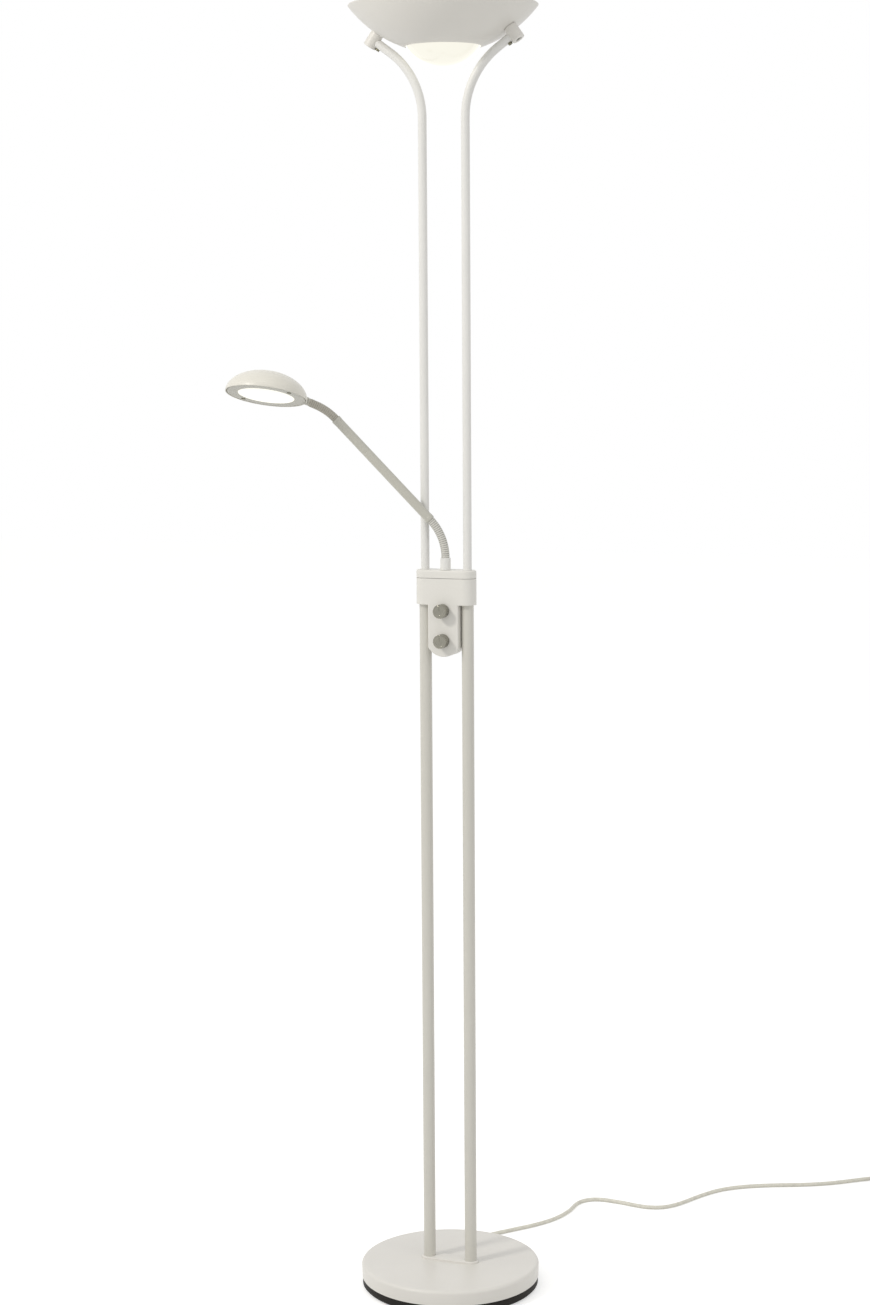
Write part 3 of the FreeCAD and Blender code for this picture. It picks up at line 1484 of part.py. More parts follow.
def make_head_inside(rim):
    """The ring, diffuser, light board and heat sink, square to the dome's axis."""

    def inside(name, radius, height, level, x="0", y="0"):
        bar = rod(name, radius, height, Vector())
        bar.Placement = rim * Placement(point(x, y, level), Rotation())
        return bar

    ring_top = "ring_recess + ring_thickness"
    disc = inside("ring_disc", "ring_radius", "ring_thickness", "ring_recess")
    window = inside("ring_hole", "ring_window", "ring_thickness", "ring_recess")
    screws, holes = [], []
    for i in range(2):
        angle = f"(ring_screw_angle + {i} * 180)"
        x, y = f"ring_screw_circle * cos({angle})", f"ring_screw_circle * sin({angle})"
        tap = "screw_radius + running_gap"
        holes.append(inside(f"ring_tap_{i}", tap, "ring_thickness", "ring_recess", x, y))
        head_bottom = "ring_recess - running_gap - screw_head_height * 0.6"
        head = inside(
            f"ring_head_{i}", "screw_head_radius", "screw_head_height * 0.6", head_bottom, x, y
        )
        shank = inside(f"ring_shank_{i}", "screw_radius", "led_board_level / 2", head_bottom, x, y)
        screws.append(fuse(f"ring_screw_{i}", shank, head))
    finish("head_ring", cut("ring", disc, window, *holes))
    finish("head_screws", group("ring_screws", screws))

    edge = "ring_window - loose_gap"
    flange = "ring_window + diffuser_flange"
    face = "ring_recess"
    crown = "ring_recess - diffuser_bulge"
    top = f"{ring_top} + running_gap"
    corners = [
        ("0", crown),
        (edge, face),
        (edge, top),
        (flange, top),
        (flange, f"{top} + diffuser_wall"),
        (f"{edge} - diffuser_wall", f"{top} + diffuser_wall"),
        (f"{edge} - diffuser_wall", f"{face} + diffuser_wall"),
        ("0", f"{crown} + diffuser_wall"),
    ]
    outer_rise = cap_rise(edge, "diffuser_bulge")
    inner_rise = cap_rise(f"{edge} - diffuser_wall", "diffuser_bulge")
    arcs = {
        0: (f"({edge}) / 2", f"{crown} + {outer_rise}"),
        6: (f"({edge} - diffuser_wall) / 2", f"{crown} + diffuser_wall + {inner_rise}"),
    }
    finish("head_diffuser", turned("diffuser", corners, arcs, rim))

    board = inside("led_board", "led_board_radius", "board_thickness", "led_board_level")
    finish("head_led_board", board)
    sink_bottom = "led_board_level + board_thickness + running_gap"
    plate = inside("head_sink_plate", "led_board_radius", "head_sink_height / 4", sink_bottom)
    fins = [plate]
    for i in range(int(number("head_fins"))):
        y = f"({i} - (head_fins - 1) / 2) * led_board_radius * 1.4 / (head_fins - 1)"
        length = f"2 * sqrt((led_board_radius * 0.86)^2 - ({y})^2)"
        corner = point(f"-({length}) / 2", f"{y} - head_fin_thickness / 2", sink_bottom)
        sides = (length, "head_fin_thickness", "head_sink_height")
        fins.append(block(f"head_fin_{i}", sides, corner, rim))
    finish("head_heat_sink", fuse("head_sink", *fins))


# ---------------------------------------------------------------- mains cord

# The loose run on the floor, from the strain relief's tip to the coil: x, y, height.
CORD_ROUTE = [
    (-16, 157.3, 7.5),
    (-15.5, 178, 5.4),
    (-6, 200, 3.3),
    (17, 229, 3.1),
    (40, 257, 3.1),
    (58, 285, 3.1),
    (69, 314, 3.1),
    (74, 345, 3.1),
    (73.5, 377, 3.1),
    (84, 396.4, 3.1),
    (103, 406, 3.1),
    (140, 402, 3.1),
    (178, 393, 3.1),
    (206, 400, 3.1),
    (226, 425, 3.1),
    (247, 474, 3.1),
    (270, 513, 3.1),
    (302, 540, 3.1),
    (345, 562, 3.1),
    (392, 580, 3.1),
    (434, 604, 3.1),
    (475, 638, 3.4),
    (516.9, 665.2, 4.2),
]


def tube_along(edges, radius):
    """A round tube along edges that meet without a corner."""
    path = Part.Wire(edges)
    first = path.Edges[0]
    heading = first.tangentAt(first.FirstParameter)
    start = first.valueAt(first.FirstParameter)
    ring = Part.Wire([Part.Circle(start, heading, radius).toShape()])
    return path.makePipeShell([ring], True, False)


def make_cord_lead(start_shift):
    """Straight runs joined by tangent arcs, each as large as its two runs allow."""
    points = [Vector(*p) for p in CORD_ROUTE]
    points[0] = points[0] + start_shift
    points[1] = points[1] + start_shift
    radius = number("cord_radius")
    edges, radii = [], []
    here = points[0]
    for before, corner, after in zip(points, points[1:], points[2:]):
        inward, outward = (corner - before), (after - corner)
        shorter = min(inward.Length, outward.Length)
        turn = inward.getAngle(outward)
        back = 0.45 * shorter
        first = corner - inward.normalize() * back
        last = corner + outward.normalize() * back
        edges.append(Part.LineSegment(here, first).toShape())
        edges.append(arc_edge(first, corner, last))
        radii.append(back / math.tan(turn / 2))
        here = last
    edges.append(Part.LineSegment(here, points[-1]).toShape())
    solid = tube_along(edges, radius)
    length = sum(edge.Length for edge in edges)
    print("cord lead radii", [round(r) for r in radii])
    print("cord lead length", round(length, 1), "volume", round(solid.Volume, 1))
    print("section times length", round(math.pi * radius**2 * length, 1))
    piece = doc.addObject("Part::Feature", "cord_lead_shape")
    piece.Shape = solid
    finish("cord_lead", piece)
    return points[-1], (points[-1] - points[-2])


def coil_nodes(entry, heading):
    """Points and directions at each quarter turn, clockwise, two layers deep."""
    outer, step = number("coil_outer"), number("coil_step")
    low = entry.z
    high = low + step
    flat = Vector(heading.x, heading.y, 0).normalize()
    centre = entry + Vector(flat.y, -flat.x, 0) * outer
    centre.z = 0
    first_angle = math.atan2(entry.y - centre.y, entry.x - centre.x)
    quarters = 7
    plan = [(k, outer - step * k / 4, low) for k in range(quarters + 1)]
    inner = plan[-1][1]
    plan += [(quarters + 1, inner - 1.3, (low + high) / 2), (quarters + 2, inner, high)]
    plan += [
        (quarters + 2 + k, inner + step * k / 4, high) for k in range(1, quarters + 1)
    ]
    last = plan[-1][0]
    plug_level = number("plug_thickness / 2 + loose_gap")
    plan += [
        (last + 0.5, outer + step * 0.25, high - (high - plug_level) * 0.12),
        (last + 1.1, outer + step * 1.6, plug_level),
    ]
    nodes = []
    for i, (turned_by, radius, height) in enumerate(plan):
        before, after = plan[max(i - 1, 0)], plan[min(i + 1, len(plan) - 1)]
        span = max(after[0] - before[0], 1e-9) * math.pi / 2
        drift = (after[1] - before[1]) / span
        climb = (after[2] - before[2]) / span
        if i in (0, len(plan) - 1):
            climb = 0
        if abs(height - low) < 1e-9 or abs(height - high) < 1e-9:
            climb = 0
        angle = first_angle - turned_by * math.pi / 2
        out = Vector(math.cos(angle), math.sin(angle), 0)
        round_way = Vector(math.sin(angle), -math.cos(angle), 0)
        direction = (round_way * radius + out * drift + UP * climb).normalize()
        nodes.append((centre + out * radius + UP * height, direction))
    nodes[0] = (entry, Vector(flat.x, flat.y, 0))
    return centre, nodes


def biarc(first, first_way, last, last_way):
    """Two tangent arcs from one point and direction to another."""
    chord = last - first
    both = first_way + last_way
    a = 2 * (1 - first_way.dot(last_way))
    b = 2 * chord.dot(both)
    c = -chord.dot(chord)
    if a < 1e-9:
        reach = -c / b
    else:
        reach = (-b + math.sqrt(b * b - 4 * a * c)) / (2 * a)
    first_corner = first + first_way * reach
    last_corner = last - last_way * reach
    meet = (first_corner + last_corner) * 0.5
    return [arc_edge(first, first_corner, meet), arc_edge(meet, last_corner, last)]


def make_coil(entry, heading):
    """Four turns in two layers, straight for one diameter at each end, and the plug's tail."""
    radius = number("cord_radius")
    straight = radius * 2
    flat = Vector(heading.x, heading.y, 0).normalize()
    centre, nodes = coil_nodes(entry + flat * straight, heading)
    edges = [Part.LineSegment(entry, nodes[0][0]).toShape()]
    for (first, first_way), (last, last_way) in zip(nodes, nodes[1:]):
        edges += biarc(first, first_way, last, last_way)
    end, end_way = nodes[-1]
    edges.append(Part.LineSegment(end, end + end_way * straight).toShape())
    length = sum(edge.Length for edge in edges)
    print("coil length", round(length, 1), "tightest arc", round(tightest(edges), 1))
    print("coil least gap to itself", round(least_gap(edges, radius), 2))
    piece = doc.addObject("Part::Feature", "cord_coil_shape")
    piece.Shape = tube_along(edges, radius)
    finish("cord_coil", piece)
    return centre, end + end_way * straight, end_way


def tightest(edges):
    return min(e.Curve.Radius for e in edges if e.Curve.TypeId == "Part::GeomCircle")


def least_gap(edges, radius):
    """The least clear distance between parts of a tube over five diameters apart along it."""
    samples = []
    run = 0
    for edge in edges:
        count = max(2, int(edge.Length / 2))
        step = (edge.LastParameter - edge.FirstParameter) / count
        for k in range(count):
            spot = edge.valueAt(edge.FirstParameter + step * k)
            samples.append((run + edge.Length * k / count, spot))
        run += edge.Length
    apart = [
        (spot - other).Length
        for i, (here, spot) in enumerate(samples)
        for there, other in samples[i + 1 :]
        if there - here > radius * 10
    ]
    return min(apart) - 2 * radius


def make_cord():
    root = point("cord_exit_x", "0", "cord_exit_level")
    side = math.sqrt(number("foot_radius") ** 2 - root.x**2)
    inner_end = "tray_radius - tray_wall - foot_radius - loose_gap"
    profile = [
        ("0", inner_end),
        ("relief_tip - running_gap", inner_end),
        ("relief_tip - running_gap", "1"),
        ("relief_root + 1.2", "1"),
        ("relief_root + 1.2", "2.8"),
        ("relief_root", "3.6"),
        ("relief_tip", "relief_length"),
        ("0", "relief_length"),
    ]
    at = Vector(root.x, side, root.z)
    finish("cord_relief", turned("relief", profile, place=facing(at, BACK)))
    tip = Vector(root.x, side + number("relief_length"), root.z)
    shift = tip - Vector(*CORD_ROUTE[0])
    entry, heading = make_cord_lead(shift)
    centre, plug_at, plug_way = make_coil(entry, heading)
    make_plug(plug_at, plug_way)
    make_tie(centre, entry, heading)


def make_plug(at, way):
    """A flat two-pin mains plug with its own short strain relief."""
    level = Vector(way.x, way.y, 0).normalize()
    turn = Rotation(Vector(1, 0, 0), level)
    frame = Placement(Vector(at.x, at.y, 0), turn)
    height = at.z
    half = "plug_width / 2"
    front = "plug_relief_length + plug_length"
    corners = [
        ("plug_relief_length - 2", "-6"),
        ("plug_relief_length + plug_length * 0.45", f"-{half}"),
        (front, f"-{half}"),
        (front, half),
        ("plug_relief_length + plug_length * 0.45", half),
        ("plug_relief_length - 2", "6"),
    ]
    place = frame * Placement(Vector(0, 0, height - number("plug_thickness / 2")), Rotation())
    slab = padded("plug_slab", "XY_Plane", corners, "plug_thickness", place=place)
    soft = rounded("plug_soft", slab, "plug_round", lambda edge: edge.Length > 5)
    root = "relief_root + edge_break"
    start = Vector(at.x, at.y, height)
    taper = cone("plug_taper", "relief_tip", root, "plug_relief_length", start, level)
    finish("cord_plug", fuse("plug_bar", soft, taper))
    pins = []
    for side in (-1, 1):
        foot = frame.multVec(point(front, f"{side} * pin_spacing / 2", "0"))
        foot.z = height
        pins.append(rod(f"pin_{side + 2}", "pin_radius", "pin_length", foot, level))
    finish("plug_pins", group("pins", pins))


def make_tie(centre, entry, heading):
    """A flat band round both layers of the coil, opposite the place where the cord comes in."""
    out = centre - Vector(entry.x, entry.y, 0)
    out.normalize()
    inner_low = "coil_lift - cord_radius - loose_gap"
    inner_high = "coil_lift + coil_step + cord_radius + loose_gap"
    near = "coil_outer - coil_step * 1.75 - cord_radius - 2.5"
    far = "coil_outer + cord_radius + 1"
    place = Placement(centre, Rotation(Vector(1, 0, 0), out)) * Placement(
        point("0", "tie_width / 2", "0"), Rotation()
    )
    outer = [
        (f"{near} - tie_thickness", f"{inner_low} - tie_thickness"),
        (f"{far} + tie_thickness", f"{inner_low} - tie_thickness"),
        (f"{far} + tie_thickness", f"{inner_high} + tie_thickness"),
        (f"{near} - tie_thickness", f"{inner_high} + tie_thickness"),
    ]
    inner = [(near, inner_low), (far, inner_low), (far, inner_high), (near, inner_high)]
    band = padded("tie_outer", "XZ_Plane", outer, "tie_width", place=place)
    hole = padded("tie_inner", "XZ_Plane", inner, "tie_width", place=place)
    finish("cord_tie", cut("tie", band, hole))


# ---------------------------------------------------------------- the whole lamp


def check_and_write():
    doc.recompute()
    for thing in doc.Objects:
        if "Invalid" in thing.State or "Error" in thing.State:
            raise RuntimeError(f"{thing.Name} ({thing.Label}) failed: {thing.State}")
    for piece in finished:
        shape = piece.Shape
        if shape.isNull() or not shape.isValid() or not shape.Solids:
            raise RuntimeError(f"{piece.Label} has no sound shape")
    os.makedirs("parts", exist_ok=True)
    for piece in finished:
        piece.Shape.exportStep(f"parts/{piece.Label}.step")
    print(len(finished), "pieces written")


make_base()
make_masts()
make_box()
make_bowl()
make_head(make_arm())
make_cord()
check_and_write()
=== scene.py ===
import json
import math

import bmesh
import bpy
import numpy as np
from bpy.props import FloatProperty, FloatVectorProperty, IntProperty, PointerProperty
from bpy.types import Operator, Panel, PropertyGroup
from mathutils import Matrix, Vector


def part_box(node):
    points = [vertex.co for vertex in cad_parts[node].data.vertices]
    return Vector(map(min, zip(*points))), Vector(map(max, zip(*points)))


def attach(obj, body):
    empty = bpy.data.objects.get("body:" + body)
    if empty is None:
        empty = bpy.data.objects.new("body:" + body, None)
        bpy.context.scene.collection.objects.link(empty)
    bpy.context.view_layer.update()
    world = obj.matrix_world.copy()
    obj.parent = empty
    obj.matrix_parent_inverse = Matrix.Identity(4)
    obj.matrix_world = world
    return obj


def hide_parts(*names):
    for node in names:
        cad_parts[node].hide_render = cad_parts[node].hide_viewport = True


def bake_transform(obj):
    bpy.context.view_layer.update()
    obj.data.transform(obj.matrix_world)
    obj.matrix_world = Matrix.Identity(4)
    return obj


bl_info = {
    "name": "Uplighter lamp with reading arm",
    "version": (1, 0, 0),
    "blender": (4, 5, 0),
    "location": "3D View > Sidebar > Lamp",
    "description": "Dresses a twin-mast floor lamp: shells, necks, knobs, cord and lacquers",
    "category": "Object",
}

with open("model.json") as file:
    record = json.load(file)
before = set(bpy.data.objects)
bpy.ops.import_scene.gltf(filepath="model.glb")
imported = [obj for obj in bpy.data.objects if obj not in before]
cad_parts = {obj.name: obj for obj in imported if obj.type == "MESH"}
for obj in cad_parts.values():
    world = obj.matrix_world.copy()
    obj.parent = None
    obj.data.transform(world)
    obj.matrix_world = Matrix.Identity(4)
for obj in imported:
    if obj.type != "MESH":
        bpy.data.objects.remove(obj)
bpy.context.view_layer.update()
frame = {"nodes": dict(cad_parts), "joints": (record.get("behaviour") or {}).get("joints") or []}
JOINTS = {joint["name"]: joint for joint in frame["joints"]}
ACROSS = Vector((1, 0, 0))
BACK = Vector((0, 1, 0))
UP = Vector((0, 0, 1))


# ---------- settings


def colour(description, value):
    return FloatVectorProperty(
        description=description, subtype="COLOR", size=3, min=0, max=1, default=value
    )


def length(description, metres):
    return FloatProperty(
        description=description, unit="LENGTH", subtype="DISTANCE", min=0, default=metres
    )


def angle(description, degrees):
    return FloatProperty(
        description=description, subtype="ANGLE", default=math.radians(degrees)
    )


class LampFinish(PropertyGroup):
    """Colours of the lamp's finishes, and the strength of its light."""

    lacquer: colour("Off-white powder coat on base and bowl", (0.79, 0.77, 0.725))
    upper: colour("Whiter coat on the two upper tubes", (0.82, 0.815, 0.79))
    # Painted shade: the lower tubes' coat is set darker than the upper tubes', for the shade on
    # them.
    lower: colour("Coat on the two lower tubes", (0.66, 0.645, 0.59))
    # The arm's coat: partly a greyer finish, partly painted shade that sets it darker still.
    arm: colour("Greyer coat on the reading arm's tube", (0.54, 0.53, 0.47))
    # Painted shade: the ring's coat is set grey for the shade on its downward face.
    ring: colour("Grey coat on the ring in the head's mouth", (0.50, 0.49, 0.43))
    head: colour("Coat on the reading head's dome", (0.76, 0.74, 0.67))
    plastic: colour("Off-white plastic of the control box", (0.80, 0.785, 0.74))
    tray: colour("Black plastic under the base", (0.014, 0.012, 0.010))
    low_neck: colour("Pale coat on the lower flexible neck", (0.66, 0.65, 0.60))
    high_neck: colour("Grey coat on the upper flexible neck", (0.44, 0.42, 0.36))
    cord: colour("Pale grey cord, plug and strain relief", (0.80, 0.78, 0.69))
    light: colour("Colour of the lit glass and diffusers", (1.0, 0.975, 0.86))
    glow: FloatProperty(description="Strength of the lit glass", min=0, default=0.90)


class LampSizes(PropertyGroup):
    """Sizes of the pieces that are finished here."""

    cover_round: length("Rounding of the base cover's top edge", 0.005)
    cover_wall: length("Sheet thickness of the base cover", 0.0015)
    bowl_wall: length("Sheet thickness of the bowl", 0.0016)
    bowl_foot: length("Radius of the bowl's skin at its lower edge", 0.0536)
    bowl_lip: length("Width of the lip round the bowl's opening", 0.0024)
    neck_plug: length("Plain end of each neck inside its socket", 0.0116)
    neck_core: length("Radius in the grooves of a neck", 0.0053)
    neck_crest: length("Radius on the crests of a neck", 0.0058)
    neck_pitch: length("Distance between two crests", 0.0029)
    arm_radius: length("Radius of the reading arm's tube", 0.0065)
    collar_radius: length("Radius of the arm tube's end collars", 0.0068)
    arm_seam: length("Place of the seam line along the arm's tube", 0.129)
    dome_radius: length("Half width of the reading head's dome", 0.0568)
    dome_height: length("Height of the reading head's dome", 0.034)
    dome_wall: length("Thickness of the dome", 0.0014)
    dome_tip: angle("Sideways tip of the dome towards the viewer", 15)
    dome_lean: angle("Rise of the dome's outer end", 7.6)
    boss_radius: length("Radius of the boss that the dome hangs by", 0.0056)
    boss_show: length("How far the boss stands out of the dome", 0.0029)
    neck_above_rim: length("Height of the neck's axis over the rim", 0.0042)
    neck_entry: angle("Turn of the neck's entry round the dome, to the back", 15)
    ring_width: length("Width of the flat ring in the dome's mouth", 0.015)
    ring_recess: length("How far the ring lies inside the dome's rim", 0.0005)
    knob_radius: length("Outer radius of a dimmer knob", 0.0098)
    knob_length: length("Length of a dimmer knob", 0.014)
    knob_flutes: IntProperty(description="Flutes round a knob", min=3, default=24)
    cord_length: length("Length of the cord from strain relief to plug", 1.80)
    cord_diameter: length("Outer diameter of the mains cord", 0.006)
    coil_radius: length("Radius of the outermost turn of the put-away coil", 0.042)
    coil_step: length("Distance between neighbouring turns and layers", 0.0066)


class LampView(PropertyGroup):
    """The camera, fitted to the photograph."""

    azimuth: angle("Turn of the lamp against the camera", 20.25)
    distance: length("Level distance from the lamp's axis", 3.5192)
    height: length("Height of the camera", 1.3522)
    pitch: angle("Downward tilt", 7.067)
    yaw: angle("Sideways turn", -0.2686)
    roll: angle("Roll about the line of sight", 0.367)
    focal: FloatProperty(description="For a frame 36 mm high", default=69.98)


class LampSettings(PropertyGroup):
    """The lamp's finishes, sizes and camera."""

    finish: PointerProperty(type=LampFinish)
    sizes: PointerProperty(type=LampSizes)
    view: PointerProperty(type=LampView)


def settings():
    return bpy.context.scene.floor_lamp


# ---------- meshes


def rounded_outline(corners, radii, steps):
    """A profile with each corner turned into an arc of its own radius.

    The arc leaves a corner's two sides at radius / tan(half the inner angle) and follows
    centre + radius * (cos a, sin a) between them.
    """
    corners = np.array(corners, float)
    runs = [corners[:1]]
    for before, corner, after, radius in zip(corners, corners[1:], corners[2:], radii):
        back = (before - corner) / np.linalg.norm(before - corner)
        on = (after - corner) / np.linalg.norm(after - corner)
        half = math.acos(float(np.clip(back @ on, -1, 1))) / 2
        if radius <= 0 or abs(half - math.pi / 2) < 1e-6:
            runs.append(corner[None])
            continue
        bisector = (back + on) / np.linalg.norm(back + on)
        centre = corner + bisector * radius / math.sin(half)
        first = corner + back * radius / math.tan(half) - centre
        last = corner + on * radius / math.tan(half) - centre
        start = math.atan2(first[1], first[0])
        sweep = math.atan2(first[0] * last[1] - first[1] * last[0], float(first @ last))
        turn = start + sweep * np.linspace(0, 1, steps)
        runs.append(centre + radius * np.stack([np.cos(turn), np.sin(turn)], 1))
    runs.append(corners[-1:])
    return np.vstack(runs)


def surface(name, grid, wrapped=True, closed=True, sharp=35):
    """A mesh over a grid of points; equal points are merged and the faces turned outwards.

    A wrapped grid's last column joins its first one.
    """
    rows, columns = grid.shape[:2]
    row, column = np.meshgrid(
        np.arange(rows - 1), np.arange(columns if wrapped else columns - 1), indexing="ij"
    )
    row, column = row.ravel(), column.ravel()
    here, beside = row * columns + column, row * columns + (column + 1) % columns
    quads = np.stack([here, here + columns, beside + columns, beside], 1)
    mesh = bpy.data.meshes.new(name)
    mesh.from_pydata(grid.reshape(-1, 3).tolist(), [], quads.tolist())
    piece = bpy.data.objects.new(name, mesh)
    bpy.context.scene.collection.objects.link(piece)
    tidy(mesh, closed, sharp)
    return piece


def tidy(mesh, closed, sharp):
    """Merges doubles, turns the faces outwards and keeps edges above an angle crisp."""
    bm = bmesh.new()
    bm.from_mesh(mesh)
    bmesh.ops.remove_doubles(bm, verts=bm.verts, dist=1e-7)
    bmesh.ops.dissolve_degenerate(bm, edges=bm.edges, dist=1e-8)
    if closed:
        bmesh.ops.recalc_face_normals(bm, faces=bm.faces)
    limit = math.radians(sharp)
    for edge in bm.edges:
        edge.smooth = len(edge.link_faces) == 2 and edge.calc_face_angle() < limit
    for face in bm.faces:
        face.smooth = True
    bm.to_mesh(mesh)
    bm.free()


def placed(grid, place):
    """A grid of points moved by a 4 by 4 matrix."""
    matrix = np.array(place)
    return grid @ matrix[:3, :3].T + matrix[:3, 3]


def turned(name, profile, place=Matrix.Identity(4), *, steps, **options):
    """A profile of (r, z) turned about Z: x = r cos t, y = r sin t, z = z."""
    profile = np.asarray(profile, float)
    turn = np.linspace(0, 2 * math.pi, steps, endpoint=False)
    radius, height = profile[:, :1], profile[:, 1:]
    grid = np.stack([radius * np.cos(turn), radius * np.sin(turn), height + 0 * turn], 2)
    return surface(name, placed(grid, place), **options)


def cap(crown, rim, depth, count):
    """Points (r, z) on a shallow round cap, from its crown on the axis up to its rim.

    The sphere's radius is (rim^2 + depth^2) / (2 depth).
    """
    ball = (rim**2 + depth**2) / (2 * depth)
    turn = np.linspace(0, math.asin(min(rim / ball, 1)), count)
    return np.stack([ball * np.sin(turn), crown + ball * (1 - np.cos(turn))], 1)


def axes_matrix(origin, x, y, z):
    """The frame with this origin and these three unit axes."""
    matrix = Matrix((x, y, z)).transposed().to_4x4()
    matrix.translation = origin
    return matrix


# ---------- materials


def shader(name, values):
    """A new node material, its tree, its main shader and the object's own coordinates.

    The plain values go on the shader's inputs.
    """
    material = bpy.data.materials.new(name)
    material.use_nodes = True
    tree = material.node_tree
    bsdf = tree.nodes["Principled BSDF"]
    for key, value in values.items():
        bsdf.inputs[key].default_value = value
    return material, tree, bsdf, tree.nodes.new("ShaderNodeTexCoord").outputs["Object"]


def node(tree, kind, **values):
    """A new shader node, with its inputs and settings filled in by name."""
    made = tree.nodes.new(kind)
    for key, value in values.items():
        if key in made.inputs:
            made.inputs[key].default_value = value
        else:
            setattr(made, key, value)
    return made


def noise(tree, place, scale, detail=3, roughness=0.5):
    made = node(tree, "ShaderNodeTexNoise", Scale=scale, Detail=detail, Roughness=roughness)
    tree.links.new(place, made.inputs["Vector"])
    return made.outputs["Fac"]


def cells(tree, place, scale, **values):
    """The distance to the middle of the nearest cell of a pattern."""
    made = node(tree, "ShaderNodeTexVoronoi", Scale=scale, **values)
    tree.links.new(place, made.inputs["Vector"])
    return made.outputs["Distance"]


def sum_with_share(tree, value, other, share):
    """A value plus a share of another one."""
    made = node(tree, "ShaderNodeMath", operation="MULTIPLY_ADD")
    made.inputs[1].default_value = share
    tree.links.new(other, made.inputs[0])
    tree.links.new(value, made.inputs[2])
    return made.outputs["Value"]


def add_bump(tree, bsdf, layers):
    """Bumps one on the other: each layer is (height output, strength, distance)."""
    last = None
    for height, strength, distance in layers:
        bump = node(tree, "ShaderNodeBump", Strength=strength, Distance=distance)
        tree.links.new(height, bump.inputs["Height"])
        if last:
            tree.links.new(last.outputs["Normal"], bump.inputs["Normal"])
        last = bump
    tree.links.new(last.outputs["Normal"], bsdf.inputs["Normal"])


def add_tone(tree, bsdf, factor, stops, socket="Base Color"):
    """Leads a colour ramp over a factor to the shader: stops are (place, colour)."""
    ramp = tree.nodes.new("ShaderNodeValToRGB")
    while len(ramp.color_ramp.elements) < len(stops):
        ramp.color_ramp.elements.new(0.5)
    for element, (place, shade) in zip(ramp.color_ramp.elements, stops):
        element.position = place
        element.color = (*shade, 1)
    tree.links.new(factor, ramp.inputs["Fac"])
    tree.links.new(ramp.outputs["Color"], bsdf.inputs[socket])


def add_gloss(tree, bsdf, factor, low, high):
    """Leads a roughness between two values to the shader."""
    span = node(tree, "ShaderNodeMapRange")
    span.inputs["To Min"].default_value = low
    span.inputs["To Max"].default_value = high
    tree.links.new(factor, span.inputs["Value"])
    tree.links.new(span.outputs["Result"], bsdf.inputs["Roughness"])


def dimmed(shade, share):
    return tuple(channel * share for channel in shade)


def lacquer_material(name, shade, gloss, peel=1.0):
    """Powder coat: cloudy tone, a faint orange-peel surface and uneven gloss."""
    values = {"Coat Weight": 0.15, "Coat Roughness": 0.25}
    material, tree, bsdf, place = shader(name, values)
    cloud = noise(tree, place, 9, 4)
    add_tone(tree, bsdf, cloud, [(0.3, dimmed(shade, 0.965)), (0.7, shade)])
    add_gloss(tree, bsdf, noise(tree, place, 60), gloss - 0.05, gloss + 0.07)
    fine = noise(tree, place, 1400, 2)
    coarse = noise(tree, place, 420, 2)
    add_bump(tree, bsdf, [(coarse, 0.10 * peel, 0.0003), (fine, 0.07 * peel, 0.0001)])
    return material


def plastic_material(name, shade, gloss, grain=900, specular=0.5):
    """Moulded plastic with a fine spark-eroded grain."""
    values = {"Roughness": gloss, "Specular IOR Level": specular}
    material, tree, bsdf, place = shader(name, values)
    cloud = noise(tree, place, 30, 2)
    add_tone(tree, bsdf, cloud, [(0.3, dimmed(shade, 0.94)), (0.7, shade)])
    add_bump(tree, bsdf, [(cells(tree, place, grain), 0.12, 0.0001)])
    return material


def metal_material(name, shade, gloss, depth=0.08, scale=700, stretch=(1, 1, 1)):
    """Bare or plated metal: fine lines drawn out along one way, and clouded gloss."""
    material, tree, bsdf, place = shader(name, {"Metallic": 1})
    mapping = tree.nodes.new("ShaderNodeMapping")
    mapping.inputs["Scale"].default_value = stretch
    tree.links.new(place, mapping.inputs["Vector"])
    lines = noise(tree, mapping.outputs["Vector"], scale)
    cloud = noise(tree, place, 45)
    add_tone(tree, bsdf, cloud, [(0.3, dimmed(shade, 0.9)), (0.7, shade)])
    add_gloss(tree, bsdf, cloud, max(gloss - 0.06, 0.03), gloss + 0.08)
    add_bump(tree, bsdf, [(lines, depth, 0.0001)])
    return material


def neck_material(name, shade, groove_shade_share):
    """Coated strip: painted shade darkens the grooves between its turns, by the mesh's own groove
    value.
    """
    material, tree, bsdf, place = shader(name, {"Roughness": 0.4, "Metallic": 0.15})
    # Painted shade: the deeper a point lies in a groove, the darker its colour.
    depth = node(tree, "ShaderNodeAttribute", attribute_name="groove")
    mixed = sum_with_share(tree, depth.outputs["Fac"], noise(tree, place, 300), 0.15)
    add_tone(tree, bsdf, mixed, [(0.1, shade), (0.9, dimmed(shade, groove_shade_share))])
    add_bump(tree, bsdf, [(noise(tree, place, 1200, 2), 0.08, 0.0001)])
    return material


def lit_material(name, shade, strength, edge_share, gloss=0.25):
    """Lit opal glass or plastic: an even glow, a little weaker where it turns away."""
    base = (*dimmed(shade, 0.05), 1)
    values = {"Emission Strength": strength, "Base Color": base, "Roughness": gloss}
    material, tree, bsdf, place = shader(name, values)
    turn = node(tree, "ShaderNodeLayerWeight", Blend=0.35)
    mixed = sum_with_share(tree, turn.outputs["Facing"], noise(tree, place, 40, 2), 0.05)
    stops = [(0.0, shade), (1.0, dimmed(shade, edge_share))]
    add_tone(tree, bsdf, mixed, stops, "Emission Color")
    return material


def felt_material(name, shade):
    """Needled felt: short fibres in every direction over a soft sheen."""
    material, tree, bsdf, place = shader(name, {"Roughness": 0.95, "Sheen Weight": 0.4})
    fibres = noise(tree, place, 1100, 5, 0.7)
    add_tone(tree, bsdf, fibres, [(0.3, dimmed(shade, 0.5)), (0.7, shade)])
    add_bump(tree, bsdf, [(fibres, 0.6, 0.0005)])
    return material


